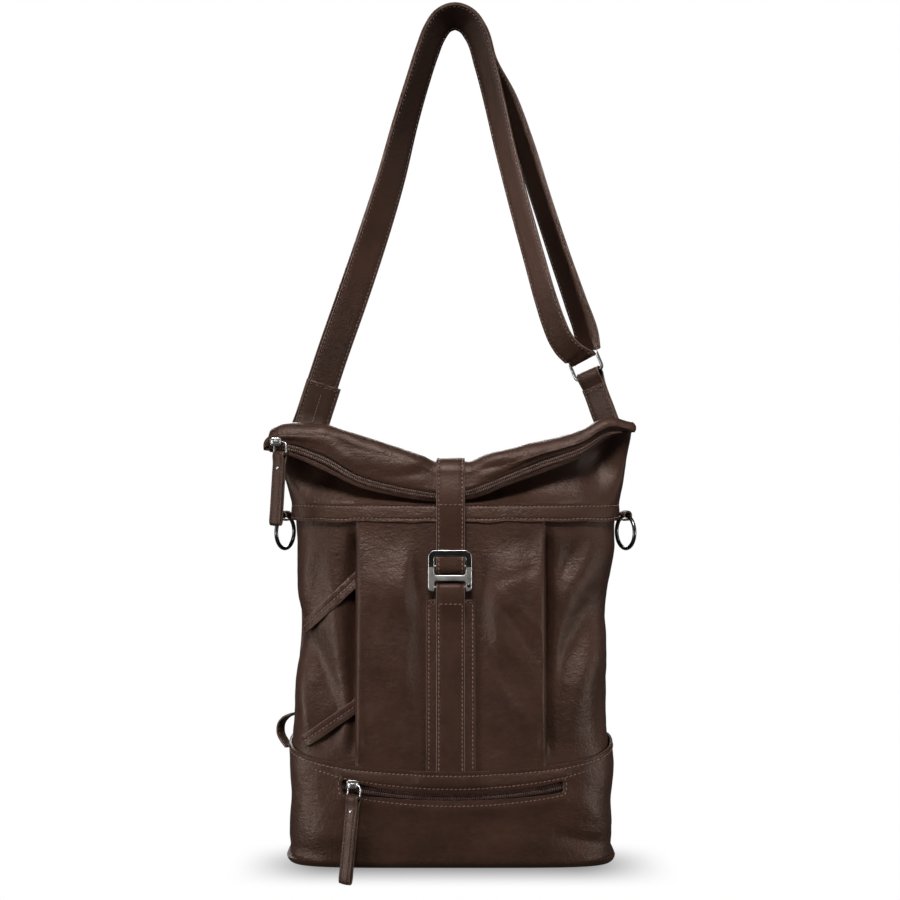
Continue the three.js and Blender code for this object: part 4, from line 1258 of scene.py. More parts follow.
@dataclass
class RollTop:
    """The upper section: it rises from the hem, turns forward over a crest and hangs to its mouth."""

    form: BagForm
    radius: float = 8.5
    tighter: float = 0.5
    half: float = 5.5
    tilt: float = 0.25
    mouth_left: float = 186.0
    mouth_right: float = 175.0
    crest_left: float = 178.0
    crest_right: float = 177.0
    power: float = 4.0
    hollow: float = 2.3
    hollows: tuple[Point, ...] = ((147.0, 17.0, 14.0), (-138.0, 27.0, 14.0))
    hem_flare: float = 1.2
    hem_wave: float = 0.45
    lip_forward: float = 4.0
    puff: float = 3.6
    strap_half: float = 17.0
    hem_furrow: float = 0.45
    hem_stitches: tuple[float, ...] = (-487.2, -499.4)
    creases: tuple[Crease, ...] = (
        Crease((-20, -452), (-66, -462), -2.6, 6), Crease((-24, -444), (-44, -446), 2.0, 7),
        Crease((20, -450), (58, -447), -2.6, 6), Crease((26, -441), (50, -437), 2.0, 7),
        Crease((-120, -420), (-84, -446), -1.6, 9), Crease((96, -424), (136, -414), -1.5, 8),
    )
    table: tuple[RollRow, ...] = (
        RollRow(-188, -419, -18, -426, -434),
        RollRow(-165, -406, -18, -421, -438),
        RollRow(-130, -405, -18, -430, -451),
        RollRow(-90, -418, -21, -454, -469),
        RollRow(-50, -430, -24, -465, -478),
        RollRow(-30, -437, -27, -469, -481),
        RollRow(-17, -443, -28, -471, -482),
        RollRow(14, -443, -28, -468, -480),
        RollRow(30, -437, -27, -462, -476),
        RollRow(52, -432, -25, -453, -467),
        RollRow(80, -424, -22, -441, -457),
        RollRow(125, -411, -18, -423, -440),
        RollRow(155, -400, -16, -408, -420),
        RollRow(176, -405, -16, -404, -412),
    )
    ripples: tuple[Ripple, ...] = (
        Ripple(44, 2.0, 21.7, (1.4, 1, 1)), Ripple(17, 0.8, 14.1), Ripple(7, 0.2, 8.8))

    def at(self, name: str, x: Array) -> Array:
        """Read one column of the roll's table at places across."""
        return smooth_column([row.x for row in self.table], [getattr(row, name) for row in self.table], x)

    def fullness(self, x: Array, left: float, right: float) -> Array:
        """Give how full the flattened tube is: 1 in its middle and 0 at its ends."""
        share = np.minimum(np.abs(x) / np.where(x < 0, left, right), 1.0)
        return (1 - share ** self.power) ** (1 / self.power)

    def base(self, x: Array) -> Array:
        """Give the height at which the turn over the crest begins and ends."""
        full = self.fullness(x, self.crest_left, self.crest_right)
        return self.at("crest", x) - self.bend(x) - self.half * full

    def bend(self, x: Array) -> Array:
        """Give the radius of the turn over the crest, tighter towards the right end."""
        return self.radius * (1 - self.tighter * ease(115, 165, x))

    def turn_point(self, x: Array, degrees: float, side: Array) -> Array:
        """Find points of the turn, side being the distance out of the tube's middle."""
        angle = math.radians(degrees)
        bend = self.bend(x)
        y = self.at("lean", x) - bend + (bend + side) * math.cos(angle)
        return rows_of(x, y, self.base(x) + (bend + side) * math.sin(angle))

    def flap_point(self, x: Array, share: float, side: Array) -> Array:
        """Find points of the hanging flap, share running from the turn to the mouth."""
        base = self.base(x)
        slant = np.clip(side / self.half, -1, 1) / 2 + 0.5
        lower, upper = self.at("lower", x), np.minimum(self.at("upper", x), base - 2)
        drop = (base - lower - (upper - lower) * slant) * share
        y = self.at("lean", x) - 2 * self.bend(x) - self.tilt * drop - side
        y = y - self.lip_forward * share ** 2 * (1 - slant)
        return rows_of(x, y, base - drop)

    def hem_dip(self, turn: Array, z: float) -> Array:
        """Give how far the hem waves up and down around the bag, more towards its lower edge."""
        share = (self.form.hem_top - z) / (self.form.hem_top - self.form.hem_bottom)
        waves = sum(np.sin(2 * np.pi * (turn * count + count / 7)) for count in (9, 14, 23))
        return self.hem_wave * share * waves

    def hem_point(self, turn: Array, z: float, inset: float) -> tuple[Array, Array]:
        """Find points and normals of the hem, inset from its flared outer face."""
        form = self.form
        flare = self.hem_flare * float(ease(form.hem_top, form.hem_bottom + 4, np.array(z)))
        return form.point(turn, z + self.hem_dip(turn, z), form.boot_out + flare - inset)

    def ring(self, part: RollPart, place: float, inset: float) -> Array:
        """Find one ring of the rolled top.

        Args:
            part: Stretch that the ring is in.
            place: Height of a hem ring, degrees of a turn ring, or else a share of the stretch.
            inset: How far inside the outer face the ring lies.

        Returns:
            The ring's points.
        """
        form, turn = self.form, self.form.turns()
        if part is RollPart.HEM:
            return self.hem_point(turn, place, inset)[0]
        share = place if part is RollPart.RISE else 1.0
        flap = place if part is RollPart.FLAP else 0.0
        sizes = ("left", "right", "front", "back", "power")
        hem = {name: float(form.size(name, form.hem_top)) for name in sizes}

        def between(start: float, stop: float) -> float:
            """Give the size at this share of the rise, from the hem's to the crest's."""
            return start + (stop - start) * share

        left = between(hem["left"] + form.boot_out, self.crest_left)
        right = between(hem["right"] + form.boot_out, self.crest_right)
        left += (self.mouth_left - left) * math.sqrt(flap) - inset
        right += (self.mouth_right - right) * math.sqrt(flap) - inset
        front = hem["front"] + form.boot_out
        front += (self.half - front) * (1 - (1 - share) ** self.hollow) - inset
        back = between(hem["back"] + form.boot_out, self.half) - inset
        ux, uy = form.outline(turn, np.full_like(turn, between(hem["power"], self.power)))
        x = ux * np.where(ux < 0, left, right)
        side = uy * np.where(uy < 0, front, back)
        if part is RollPart.TURN:
            return self.turn_point(x, place, side)
        if part is RollPart.FLAP:
            return self.flap_point(x, place, side)
        rise = form.hem_top + (self.base(x) - form.hem_top) * share
        sunk = sum(deep * bell(x - at, reach) for at, reach, deep in self.hollows)
        sunk = sunk * np.clip(-uy, 0, 1) * math.sin(math.pi * share ** 1.4)
        return rows_of(x, self.at("lean", x) * share + side + sunk, rise)

    def face(self, inset: float, fine: bool) -> Array:
        """Lay out one face of the rolled top.

        Args:
            inset: How far inside the outer face it lies.
            fine: Whether it gets the close rows and the waves of the outer face.

        Returns:
            The points by row and column.
        """
        form = self.form
        hem = (form.hem_bottom, form.hem_top)
        steps = (16, 22, 16) if fine else (6, 8, 4)
        if fine:
            hem = graded(*hem, 2.5, self.hem_stitches, 2.0)
        places = [(RollPart.HEM, z) for z in hem]
        places += [(RollPart.RISE, share) for share in np.linspace(0, 1, steps[0] + 1)[1:-1]]
        places += [(RollPart.TURN, degrees) for degrees in np.linspace(0, 180, steps[1] + 1)]
        places += [(RollPart.FLAP, share) for share in np.linspace(0, 1, steps[2] + 1)[1:]]
        grid = np.stack([self.ring(part, place, inset) for part, place in places])
        out = -grid_normals(grid, True)
        height = ripple_sum(self.ripples, grid)
        z = grid[..., 2]
        rows = np.arange(len(grid))[:, None]
        calm = ease(len(hem) - 1, len(hem) + 6 * (steps[0] / 16), rows)
        calm = calm * (1 - 0.7 * ease(len(grid) - 5, len(grid) - 1, rows))
        beside = ease(self.strap_half, self.strap_half + 24, np.abs(grid[..., 0]))
        height = height * calm * (0.25 + 0.75 * beside)
        outer = (form.outline(form.turns(), np.full(form.columns, self.power))[1] > 0)[None]
        first = len(places) - steps[2] - steps[1] // 2
        share = np.clip((rows - first) / (len(places) - 1 - first), 0, 1)
        folds = sum(crease.at(grid[..., 0], z) for crease in self.creases)
        height = height + outer * np.sin(np.pi * share) * beside * (self.puff + folds)
        hem_rows = rows < len(hem)
        for seam in self.hem_stitches:
            height = height - self.hem_furrow * hem_rows * bell(z - seam, 0.9)
        return grid + out * height[..., None]

    def build(self) -> None:
        """Build the rolled top as one sheet from hem to mouth, and sew its hem."""
        draft, stitches = MeshDraft(), MeshDraft()
        draft.add_sheet(self.face(0.0, True), self.face(self.form.leather, False), True)
        draft.put("roll_hide", [HIDE], "roll_top")
        for z in self.hem_stitches:
            Thread().sew(stitches, *self.hem_point(np.linspace(0, 1, 900), z, self.hem_furrow))
        stitches.put("hem_stitches", [THREAD])


@dataclass
class FrontPlate:
    """A plate of hide that lies on the front of the shell, with rolled edges."""

    form: BagForm
    left: float
    right: float
    under: float
    over: float
    roll: float = 1.3
    roll_wide: float = 1.0
    edge_least: float = 0.4
    step: float = 2.1
    edge_reach: float = 2.4
    tuck: float = 6.0

    def top(self, x: Array) -> Array:
        """Give the height of the plate's upper edge at places across."""
        return np.full_like(np.asarray(x, float), self.form.hem_bottom + self.tuck)

    def bottom(self, x: Array) -> Array:
        """Give the height of the plate's lower edge, which is tucked behind the boot's edge."""
        return self.form.front_boot_edge(x) - self.tuck

    def relief(self, x: Array, z: Array) -> Array:
        """Give how far the plate's waves stand out; a bare plate has none."""
        return np.zeros(np.broadcast(x, z).shape)

    def on_face(self, x: Array, z: Array) -> tuple[Array, Array]:
        """Find points and normals of the plate's face.

        Args:
            x: Places across.
            z: Heights.

        Returns:
            Points and unit normals.
        """
        y = self.form.front_y(x, z) - self.over - self.relief(x, z)
        return rows_of(x, y, z), self.form.front_out(x, z)

    def draft(self) -> MeshDraft:
        """Draw the plate as one closed sheet.

        Returns:
            The draft of the plate.
        """
        x = graded(self.left, self.right, self.step, (self.left, self.right), self.edge_reach)
        tall = float(np.max(self.top(x)) - np.min(self.bottom(x)))
        down = graded(0, tall, self.step, (0, tall), self.edge_reach) / tall
        x, share = np.meshgrid(x, down)
        z = self.top(x) + (self.bottom(x) - self.top(x)) * share
        inside = np.minimum(np.minimum(x - self.left, self.right - x), self.top(x) - z)
        near = np.clip(1 - inside / (self.roll * self.roll_wide), 0, 1)
        height = self.over + self.relief(x, z)
        drop = np.minimum(self.roll * (1 - np.sqrt(1 - near ** 2)), height - self.under - self.edge_least)
        base = self.form.front_y(x, z)
        outer = rows_of(x, base - height + drop, z)
        inner = rows_of(x, base - self.under, z)
        made = MeshDraft()
        made.add_sheet(outer, inner, False)
        return made


@dataclass
class FrontPanel(FrontPlate):
    """The raised pleat panel, with soft diagonal wrinkles."""

    left: float = -95.0
    right: float = 90.5
    under: float = 0.9
    over: float = 2.9
    roll: float = 3.4
    roll_wide: float = 1.15
    quiet_left: float = -28.0
    quiet_right: float = 23.5
    bulge: float = 7.6
    bulge_top: float = 75.0
    bulge_low: float = 240.0
    ridge: float = 2.8
    ridge_at: float = 3.5
    ridge_wide: float = 4.5
    ripples: tuple[Ripple, ...] = (
        Ripple(60, 3.2, 31.3, (1, 1, 1.4)), Ripple(26, 1.5, 17.9, (1, 1, 1.3)), Ripple(9, 0.3, 4.4))
    creases: tuple[Crease, ...] = (
        Crease((36, -592), (62, -640), 1.3, 5),
        Crease((48, -584), (82, -634), -1.4, 4),
        Crease((60, -580), (88, -612), 1.2, 4),
        Crease((34, -620), (58, -672), -1.3, 5),
        Crease((66, -628), (84, -676), 1.2, 5),
        Crease((40, -560), (80, -548), -1.0, 5),
        Crease((44, -660), (76, -700), 1.0, 6),
        Crease((-70, -556), (-40, -562), 4.5, 24),
        Crease((-66, -604), (-42, -610), -3.0, 20),
        Crease((50, -552), (72, -556), 3.5, 22),
        Crease((-86, -640), (-66, -720), 1.4, 9),
        Crease((-60, -660), (-44, -720), -1.2, 10),
    )

    def relief(self, x: Array, z: Array) -> Array:
        """Give the height of the panel's waves, wrinkles and raised side edges."""
        points = rows_of(x, 0.0, z)
        waves = ripple_sum(self.ripples, points) + sum(crease.at(x, z) for crease in self.creases)
        aside = ease(1, 22, np.maximum(self.quiet_left - x, x - self.quiet_right))
        calm = ease(0, 34, self.form.hem_bottom - z) * ease(0, 22, z - self.form.front_boot_edge(x))
        edge = np.minimum(x - self.left, self.right - x)
        ridge = self.ridge * bell(edge - self.ridge_at, self.ridge_wide)
        down = self.form.hem_bottom - z
        full = self.bulge * ease(0, self.bulge_top, down)
        full = full * (1 - 0.9 * ease(self.bulge_top, self.bulge_low, down))
        return ((waves + full) * aside * (0.5 + 0.5 * ease(0, 12, edge)) + ridge) * calm

    def build(self) -> None:
        """Build the panel."""
        self.draft().put("front_panel_hide", [HIDE], "front_panel")


@dataclass
class BackingPatch(FrontPlate):
    """The round-cornered patch under the lower closure strap."""

    left: float = -26.5
    right: float = 22.0
    under: float = 2.9
    over: float = 6.0
    roll: float = 1.7
    upper: float = -577.0
    corner: float = 6.0
    seam: float = 3.0
    furrow: float = 0.7
    step: float = 1.6

    def top(self, x: Array) -> Array:
        """Give the height of the patch's upper edge with its round corners."""
        inset = self.corner - np.clip(np.minimum(x - self.left, self.right - x), 0, self.corner)
        return self.upper - self.corner + np.sqrt(self.corner ** 2 - inset ** 2)

    def relief(self, x: Array, z: Array) -> Array:
        """Give the shallow furrow along the seams."""
        edge = np.minimum(np.minimum(x - self.left, self.right - x), self.upper - z)
        return -self.furrow * bell(edge - self.seam, 0.9)

    def build(self) -> None:
        """Build the patch and sew it round its edge."""
        self.draft().put("patch_hide", [HIDE], "backing_patch")
        low = float(self.form.front_boot_edge(0.0)) + 2
        bend = self.corner - self.seam
        left, right, upper = self.left + self.seam, self.right - self.seam, self.upper - self.seam
        turn = np.radians(np.linspace(0, 90, 8))
        near, far = bend * (1 - np.cos(turn)), bend * (1 - np.sin(turn))
        rise = np.linspace(low, upper - bend - 3, 30)
        x = np.concatenate([np.full(30, left), left + near, right - far, np.full(30, right)])
        z = np.concatenate([rise, upper - far, upper - near, rise[::-1]])
        course = curve_through(rows_of(x, 0.0, z), 1.0)
        draft = MeshDraft()
        Thread().sew(draft, *self.on_face(course[:, 0], course[:, 2]))
        draft.put("patch_stitches", [THREAD])


@dataclass
class PleatStrips:
    """The two slanted strips sewn left of the panel."""

    form: BagForm
    band: Band = Band(12.6, 2.0, 6.3, 0.35, 0.3)
    lift: float = 2.6
    fold_share: float = 0.4
    fold_gap: float = 1.0
    courses: tuple[tuple[str, Span, Span], ...] = (
        ("pleat_strip_upper", (-146, -606), (-92, -556)),
        ("pleat_strip_lower", (-145, -716), (-92, -679)),
    )

    def build(self) -> None:
        """Build both strips on the wall and sew each along its middle."""
        for node, low, high in self.courses:
            share = np.linspace(0, 1, 40)[:, None]
            flat = np.array(low) + (np.array(high) - np.array(low)) * share
            x, z = flat[:, 0], flat[:, 1]
            wall = rows_of(x, self.form.front_y(x, z), z)
            fold = self.form.relief(wall)
            y = wall[:, 1] - np.maximum(fold * self.fold_share, fold - self.fold_gap) - self.lift
            places = rows_of(x, y, z)
            along = unit_rows(np.gradient(places, axis=0))
            across = unit_rows(np.cross(along, self.form.front_out(x, z)))
            frames = Frames(places, across, unit_rows(np.cross(across, along)))
            draft = MeshDraft()
            self.band.sweep(draft, frames)
            Thread().sew(draft, frames.moved(0, self.band.thick / 2 + 0.05), frames.out, THREAD_NUMBER)
            draft.put(node + "_hide", [HIDE, EDGE_PAINT_AND_HIGHLIGHT, THREAD], node)


# Closure strap and buckle

def offset_line(line: Array, distance: float) -> Array:
    """Move a flat line sideways to its left, keeping its distance at the bends.

    Args:
        line: Points of two coordinates.
        distance: How far it moves.

    Returns:
        The moved points.
    """
    steps = unit_rows(np.diff(line, axis=0))
    arrive = np.concatenate([steps[:1], steps])
    leave = np.concatenate([steps, steps[-1:]])
    along = unit_rows(arrive + leave)
    side = rows_of(-along[:, 1], along[:, 0])
    return line + side * distance / np.sum(along * arrive, axis=1, keepdims=True)


def round_bar(y: float, z: float, radius: float, start: float, stop: float, steps: int = 8) -> Array:
    """Give points round a bar in the plane across it, by degrees from +depth towards +height."""
    turn = np.radians(np.linspace(start, stop, steps + 1))
    return rows_of(y + radius * np.cos(turn), z + radius * np.sin(turn))


def rounded_loop(width: float, top: float, bottom: float, corners: Sequence[float], steps: int = 6) -> Array:
    """Draw a rectangle with round corners.

    Args:
        width: Its width.
        top: Height of its upper side.
        bottom: Height of its lower side.
        corners: Radii of the upper right, upper left, lower left and lower right corners.
        steps: Steps of each round corner.

    Returns:
        Points across and in height, from the right side upwards.
    """
    loop = []
    for quarter, corner in enumerate(corners):
        x = (1 if quarter in (0, 3) else -1) * (width / 2 - corner)
        z = top - corner if quarter < 2 else bottom + corner
        turn = np.radians(np.linspace(quarter * 90, quarter * 90 + 90, steps + 1))
        loop.append(rows_of(x + corner * np.cos(turn), z + corner * np.sin(turn)))
    return np.concatenate(loop)


def pressed_plate(name: str, outlines: Sequence[Array], thick: float, bevel: float) -> bpy.types.Mesh:
    """Press a plate with rounded edges from flat outlines.

    Args:
        name: Name of the mesh.
        outlines: The outer outline and then the holes, in millimetres.
        thick: Thickness of the plate.
        bevel: Radius of its rounded edges.

    Returns:
        A closed mesh in metres, flat in X and Z, with its middle at depth 0.
    """
    curve = bpy.data.curves.new(name, "CURVE")
    curve.dimensions, curve.fill_mode = "2D", "BOTH"
    curve.extrude, curve.bevel_depth, curve.bevel_resolution = (thick / 2 - bevel) * MM, bevel * MM, 3
    curve.offset = -bevel * MM
    for outline in outlines:
        spline = curve.splines.new("POLY")
        spline.points.add(len(outline) - 1)
        spline.use_cyclic_u = True
        spline.points.foreach_set("co", [v for x, z in outline * MM for v in (x, z, 0.0, 1.0)])
    shaped = bpy.data.objects.new(name, curve)
    bpy.context.scene.collection.objects.link(shaped)
    mesh = bpy.data.meshes.new_from_object(shaped.evaluated_get(bpy.context.evaluated_depsgraph_get()))
    bpy.data.objects.remove(shaped)
    bpy.data.curves.remove(curve)
    work = bmesh.new()
    work.from_mesh(mesh)
    bmesh.ops.remove_doubles(work, verts=work.verts, dist=1e-6)
    for vertex in work.verts:
        x, z, depth = vertex.co
        vertex.co = (x, -depth, z)
    bmesh.ops.recalc_face_normals(work, faces=work.faces)
    work.to_mesh(mesh)
    work.free()
    return mesh


@dataclass
class Closure:
    """The closure strap in two lengths and the metal buckle between them."""

    form: BagForm
    roll: RollTop
    x: float = -2.5
    upper: Band = Band(28.0, 2.2)
    lower: Band = Band(28.0, 1.9)
    lift: float = 2.2
    start_z: float = -499.0
    lower_under: float = 4.7
    buckle_x: float = -3.0
    buckle_y: float = -60.0
    buckle_thick: float = 4.0
    buckle_width: float = 42.5
    buckle_top: float = -529.0
    buckle_bottom: float = -569.0
    window_width: float = 30.5
    window_top: float = -535.0
    window_bottom: float = -553.3
    crossbar_bottom: float = -559.0
    satin_below: float = -545.5
    bar_radius: float = 1.5
    bar_play: float = 0.4
    upper_bar: float = -545.0
    lower_bar: float = -565.5
    hem_tack: float = -484.5
    lower_tack: float = -581.0
    buckle_corners: tuple[float, ...] = (7.5, 7.5, 4.0, 4.0)
    window_corner: float = 2.5
    notch_cut: float = 1.5
    bevel: float = 0.8

    @property
    def bar_y(self) -> float:
        """Depth of the two bars."""
        return self.buckle_y + 1.0

    def frames(self, line: Array) -> Frames:
        """Lay a strap along a line of depths and heights at the closure's place across."""
        rows = np.concatenate([np.full((len(line), 1), self.x), line], axis=1)
        return Frames.in_plane(curve_through(rows, 1.5), np.array([-1.0, 0.0, 0.0]))

    def upper_line(self) -> Array:
        """Draw the upper strap's course, from behind the roll over its crest to the buckle.

        Returns:
            Depths and heights along the strap's middle.
        """
        form, roll, x = self.form, self.roll, np.array([self.x])
        lean, base = float(roll.at("lean", x)[0]), float(roll.base(x)[0])
        back = float(form.size("back", form.hem_top)) + form.boot_out
        start = [(float(form.size("back", self.start_z)) + form.boot_out, self.start_z)]
        rise = [(lean * s + back + (roll.half - back) * s, form.hem_top + (base - form.hem_top) * s)
                for s in (0, 0.3, 0.6, 0.85)]
        half = np.array([roll.half])
        turn = [roll.turn_point(x, degrees, half)[0, 1:] for degrees in range(0, 181, 20)]
        flap = [roll.flap_point(x, share, half)[0, 1:] for share in (0.5, 1.0)]
        over = offset_line(np.array([*start, *rise, *turn, *flap]), -self.lift)
        bend = self.bar_radius + self.bar_play + self.upper.thick / 2
        behind = [(self.bar_y + bend, self.buckle_top + 2)]
        loop = round_bar(self.bar_y, self.upper_bar - 2.5, bend, 0, -180)
        tail = [(self.bar_y - bend, self.upper_bar + 3), (self.bar_y - bend + 0.6, self.window_top - 1.2)]
        return np.concatenate([over, behind, loop, tail])

    def lower_line(self) -> Array:
        """Draw the lower strap's course, from behind the lower bar down to the boot.

        Returns:
            Depths and heights along the strap's middle.
        """
        bend = self.bar_radius + self.bar_play + self.lower.thick / 2
        loop = round_bar(self.bar_y, self.lower_bar, bend, 0, 180)
        z = np.array([-602.0, -640.0, -682.0, -712.0, float(self.form.front_boot_edge(0.0)) - 4])
        y = self.form.front_y(np.zeros_like(z), z) - self.lower_under - self.lower.thick / 2
        return np.concatenate([[(self.bar_y + bend, -574.0)], loop, rows_of(y, z)])

    def build(self) -> None:
        """Build both straps with their seams, and the buckle."""
        for node, band, line, tack in (
                ("closure_strap_upper", self.upper, self.upper_line(), self.hem_tack),
                ("closure_strap_lower", self.lower, self.lower_line(), self.lower_tack)):
            course = self.frames(line)
            behind = course.places[:, 1] > self.buckle_y / 3
            nearest = int(np.argmin(np.abs(course.places[:, 2] - tack) + 99 * behind))
            share = nearest / (len(course.places) - 1)
            strap = MeshDraft()
            band.sweep(strap, course)
            if band is self.upper:
                band.sew(strap, course, both=True)
            else:
                band.sew(strap, course.cut(share, 1))
            band.tack(strap, course, share)
            strap.put(node + "_hide", [STRAP_HIDE, EDGE_PAINT_AND_HIGHLIGHT, THREAD], node)
        self.build_buckle()

    def build_buckle(self) -> None:
        """Build the buckle's frame with its window, legs, bars and pin."""
        outer = rounded_loop(self.buckle_width, self.buckle_top, self.buckle_bottom, self.buckle_corners, 9)
        half, cut, top = self.window_width / 2, self.notch_cut, self.crossbar_bottom
        side = [(half - cut, top), (half, top - cut), (half, self.buckle_bottom)]
        notch = [(-x, z) for x, z in side[::-1]] + side
        foot = len(outer) * 3 // 4
        outline = np.concatenate([outer[:foot], notch, outer[foot:]])
        corners = (self.window_corner,) * 4
        window = rounded_loop(self.window_width, self.window_top, self.window_bottom, corners)[::-1]
        mesh = pressed_plate("buckle_frame", [outline, window], self.buckle_thick, self.bevel)
        for finish in (GUNMETAL, BRUSHED_AND_EDGE_HIGHLIGHT):
            mesh.materials.append(finish.material())
        work = bmesh.new()
        work.from_mesh(mesh)
        bmesh.ops.bisect_plane(work, geom=[*work.verts, *work.edges, *work.faces], dist=1e-7,
                               plane_co=(0, 0, self.satin_below * MM), plane_no=(0, 0, 1))
        # Faces below satin_below are brushed; bevel faces turned partly to the front get the same lighter
        # metal as a painted highlight on the edges.
        for face in work.faces:
            low = face.calc_center_median().z / MM < self.satin_below
            face.material_index = int(low or -0.9 < face.normal.y < -0.2)
        work.to_mesh(mesh)
        work.free()
        plate = show("buckle_frame", mesh, 45, (self.buckle_x, self.buckle_y, 0))
        put(plate, Slot.GUNMETAL, "closure_buckle")
        self.build_bars(half)

    def build_bars(self, half: float) -> None:
        """Build the two bars behind the frame and the pin's head on its right leg."""
        bars = MeshDraft()
        cosines, sines = circle(16)
        ring = rows_of(0.0, cosines, sines) * self.bar_radius
        for z in (self.upper_bar, self.lower_bar):
            ends = np.array([[self.buckle_x + way * (half + 2), self.bar_y, z] for way in (-1, 1)])
            bars.add_tube(ends[:, None] + ring[None], False)
        pin = rows_of(cosines, 0.0, sines)
        face = self.buckle_y - self.buckle_thick / 2
        at = np.array([self.buckle_x + half + 3, face, self.crossbar_bottom - 4.5])
        steps = ((0.5, 1.9), (-0.35, 1.9), (-0.55, 1.6), (-0.55, 1.1), (-0.3, 0.9))
        bars.add_tube(np.stack([at + [0, depth, 0] + pin * size for depth, size in steps]), False)
        bars.put("buckle_bars", [GUNMETAL])


# Carrying strap

@dataclass
class ShoulderStrap:
    """The long doubled strap, its rectangular ring and the two tabs that carry it.

    A row of a strand holds the place of its middle and how far its outer edge is turned to the front.
    """

    band: Band = Band(30.0, 2.3, 2.6, 0.3, 0.2)
    tab_band: Band = Band(34.0, 1.8, 2.8, 0.3, 0.2)
    right_band: Band = Band(26.5, 1.8, 2.6, 0.3, 0.2)
    layer_step: float = 2.7
    layer_aside: float = 2.4
    doubled_rows: int = 14
    ring_at: Point = (130.0, 9.0, -338.5)
    ring_across: Point = (0.72, -0.58, 0.38)
    ring_down: Point = (0.37, -0.14, -0.92)
    ring_width: float = 34.5
    ring_drop: float = 19.0
    ring_wire: float = 1.6
    ring_play: float = 0.85
    tab_above: float = 31.0
    tab_below: float = 34.5
    right_length: float = 80.0
    right_neck: float = 14.0
    right_play: float = 1.3
    right_up: Point = (-0.34, 0.07, 0.937)
    left_tacks: tuple[float, ...] = (0.03, 0.62, 0.975)
    left_bar: Span = (0.72, 0.93)
    right_cover: Span = (0.0, 0.385)
    layers_part: Span = (-300.0, -140.0)
    strand_in: tuple[tuple[float, ...], ...] = (
        (-139, 0.5, -396, 0), (-121.5, 1, -342, 0), (-100.5, 1.5, -282, 5), (-80.5, 1.5, -222, 15),
        (-62, 1, -162, 28), (-46, 1, -102, 42), (-34, 0, -62, 47), (-25, 0, -34, 47),
        (-17, 0, -14, 46), (-9, 0, -3, 44), (2, 0, 1.1, 43), (13, 0, -3, 44), (22, 0, -15, 46),
        (32, 0, -46, 48), (42, 0, -86, 50), (50, -2, -122, 51), (65, -3, -182, 51),
        (81.5, -2, -242, 49), (93, 0, -282, 46), (100.5, 2, -304, 43), (108, 4, -321, 41),
        (113.5, 5, -329, 40), (121, 5.6, -336, 39),
    )
    strand_out: tuple[tuple[float, ...], ...] = (
        (136, 13.6, -331, 39), (135, 14, -320, 40), (123, 14, -282, 46), (109, 12, -242, 50),
        (89, 9, -182, 52), (69.5, 6, -122, 51), (54, 4, -82, 50),
    )

    def strand(self, rows: Array) -> Frames:
        """Lay a strand through rows of places and turns.

        Args:
            rows: Rows of x, y, z and turn in degrees.

        Returns:
            The frames, with the outer face away from the middle of the loop.
        """
        places = rows[:, :3]
        along = unit_rows(np.gradient(places, axis=0))
        turn = np.radians(rows[:, 3:])
        outside = unit_rows(rows_of(-along[:, 2], 0.0, along[:, 0]))
        across = outside * np.cos(turn) - np.array([0.0, 1.0, 0.0]) * np.sin(turn)
        inner = unit_rows(np.cross(along, across))
        return Frames(places, unit_rows(np.cross(inner, along)), -inner)

    def ring_axes(self) -> tuple[Array, Array, Array]:
        """Give the ring's directions across, down and out of its inner side."""
        across = unit_rows(np.array(self.ring_across))
        inner = unit_rows(np.cross(np.array(self.ring_down), across))
        return across, unit_rows(np.cross(across, inner)), inner

    def course(self) -> Frames:
        """Lay the whole strap, up the left, over the top, round the ring and back.

        Returns:
            The strap's frames.
        """
        rows_in = np.array(self.strand_in)
        inner = self.strand(rows_in)
        outer_rows = rows_in[:self.doubled_rows].copy()
        outer_rows[:, :3] += inner.out[:self.doubled_rows] * self.layer_step
        fade = 1 - ease(*self.layers_part, outer_rows[:, 2:3])
        outer_rows[:, :3] += inner.across[:self.doubled_rows] * fade * self.layer_aside
        back_rows = np.array(self.strand_out)[::-1]
        outer = self.strand(curve_through(np.concatenate([outer_rows, back_rows]), 4.0))
        inner = self.strand(curve_through(rows_in, 4.0))
        across, down, ring_inner = self.ring_axes()
        turn = np.radians(np.linspace(10, 180, 10))[:, None]
        round_out = ring_inner * np.cos(turn) + down * np.sin(turn)
        radius = self.ring_wire + self.ring_play + self.band.thick / 2
        wide = np.repeat(across[None], len(turn), axis=0)
        bight = np.concatenate([np.array(self.ring_at) + round_out * radius, wide, -round_out], axis=1)
        there = np.concatenate([inner.places, inner.across, inner.out], axis=1)
        back = np.concatenate([outer.places, outer.across, -outer.out], axis=1)[::-1]
        rows = curve_through(np.concatenate([there, bight, back]), 3.0)
        return Frames(rows[:, :3], unit_rows(rows[:, 3:6]), unit_rows(rows[:, 6:9]))

    def build(self) -> None:
        """Build the strap, its ring and its tabs, all sewn."""
        course = self.course()
        strap = MeshDraft()
        self.band.sweep(strap, course)
        self.band.sew(strap, course, both=True)
        finishes = [SHADED_SHOULDER_HIDE, EDGE_PAINT_AND_HIGHLIGHT, DARK_THREAD]
        strap.put("shoulder_strap_hide", finishes, "shoulder_strap")
        self.build_ring()
        self.build_left_tab(course)
        self.build_right_tab()

    def build_ring(self) -> None:
        """Build the rectangular wire ring."""
        across, down, inner = self.ring_axes()
        flat = rounded_loop(self.ring_width, self.ring_drop / 2, -self.ring_drop / 2, (3.2,) * 4)
        middle = np.array(self.ring_at) + down * self.ring_drop / 2
        path = middle + flat[:, :1] * across - flat[:, 1:] * down
        draft = MeshDraft()
        draft.add_tube(wire_rings(path, inner, self.ring_wire), True)
        draft.put("slide_ring_wire", [RING_STEEL], "slide_ring")

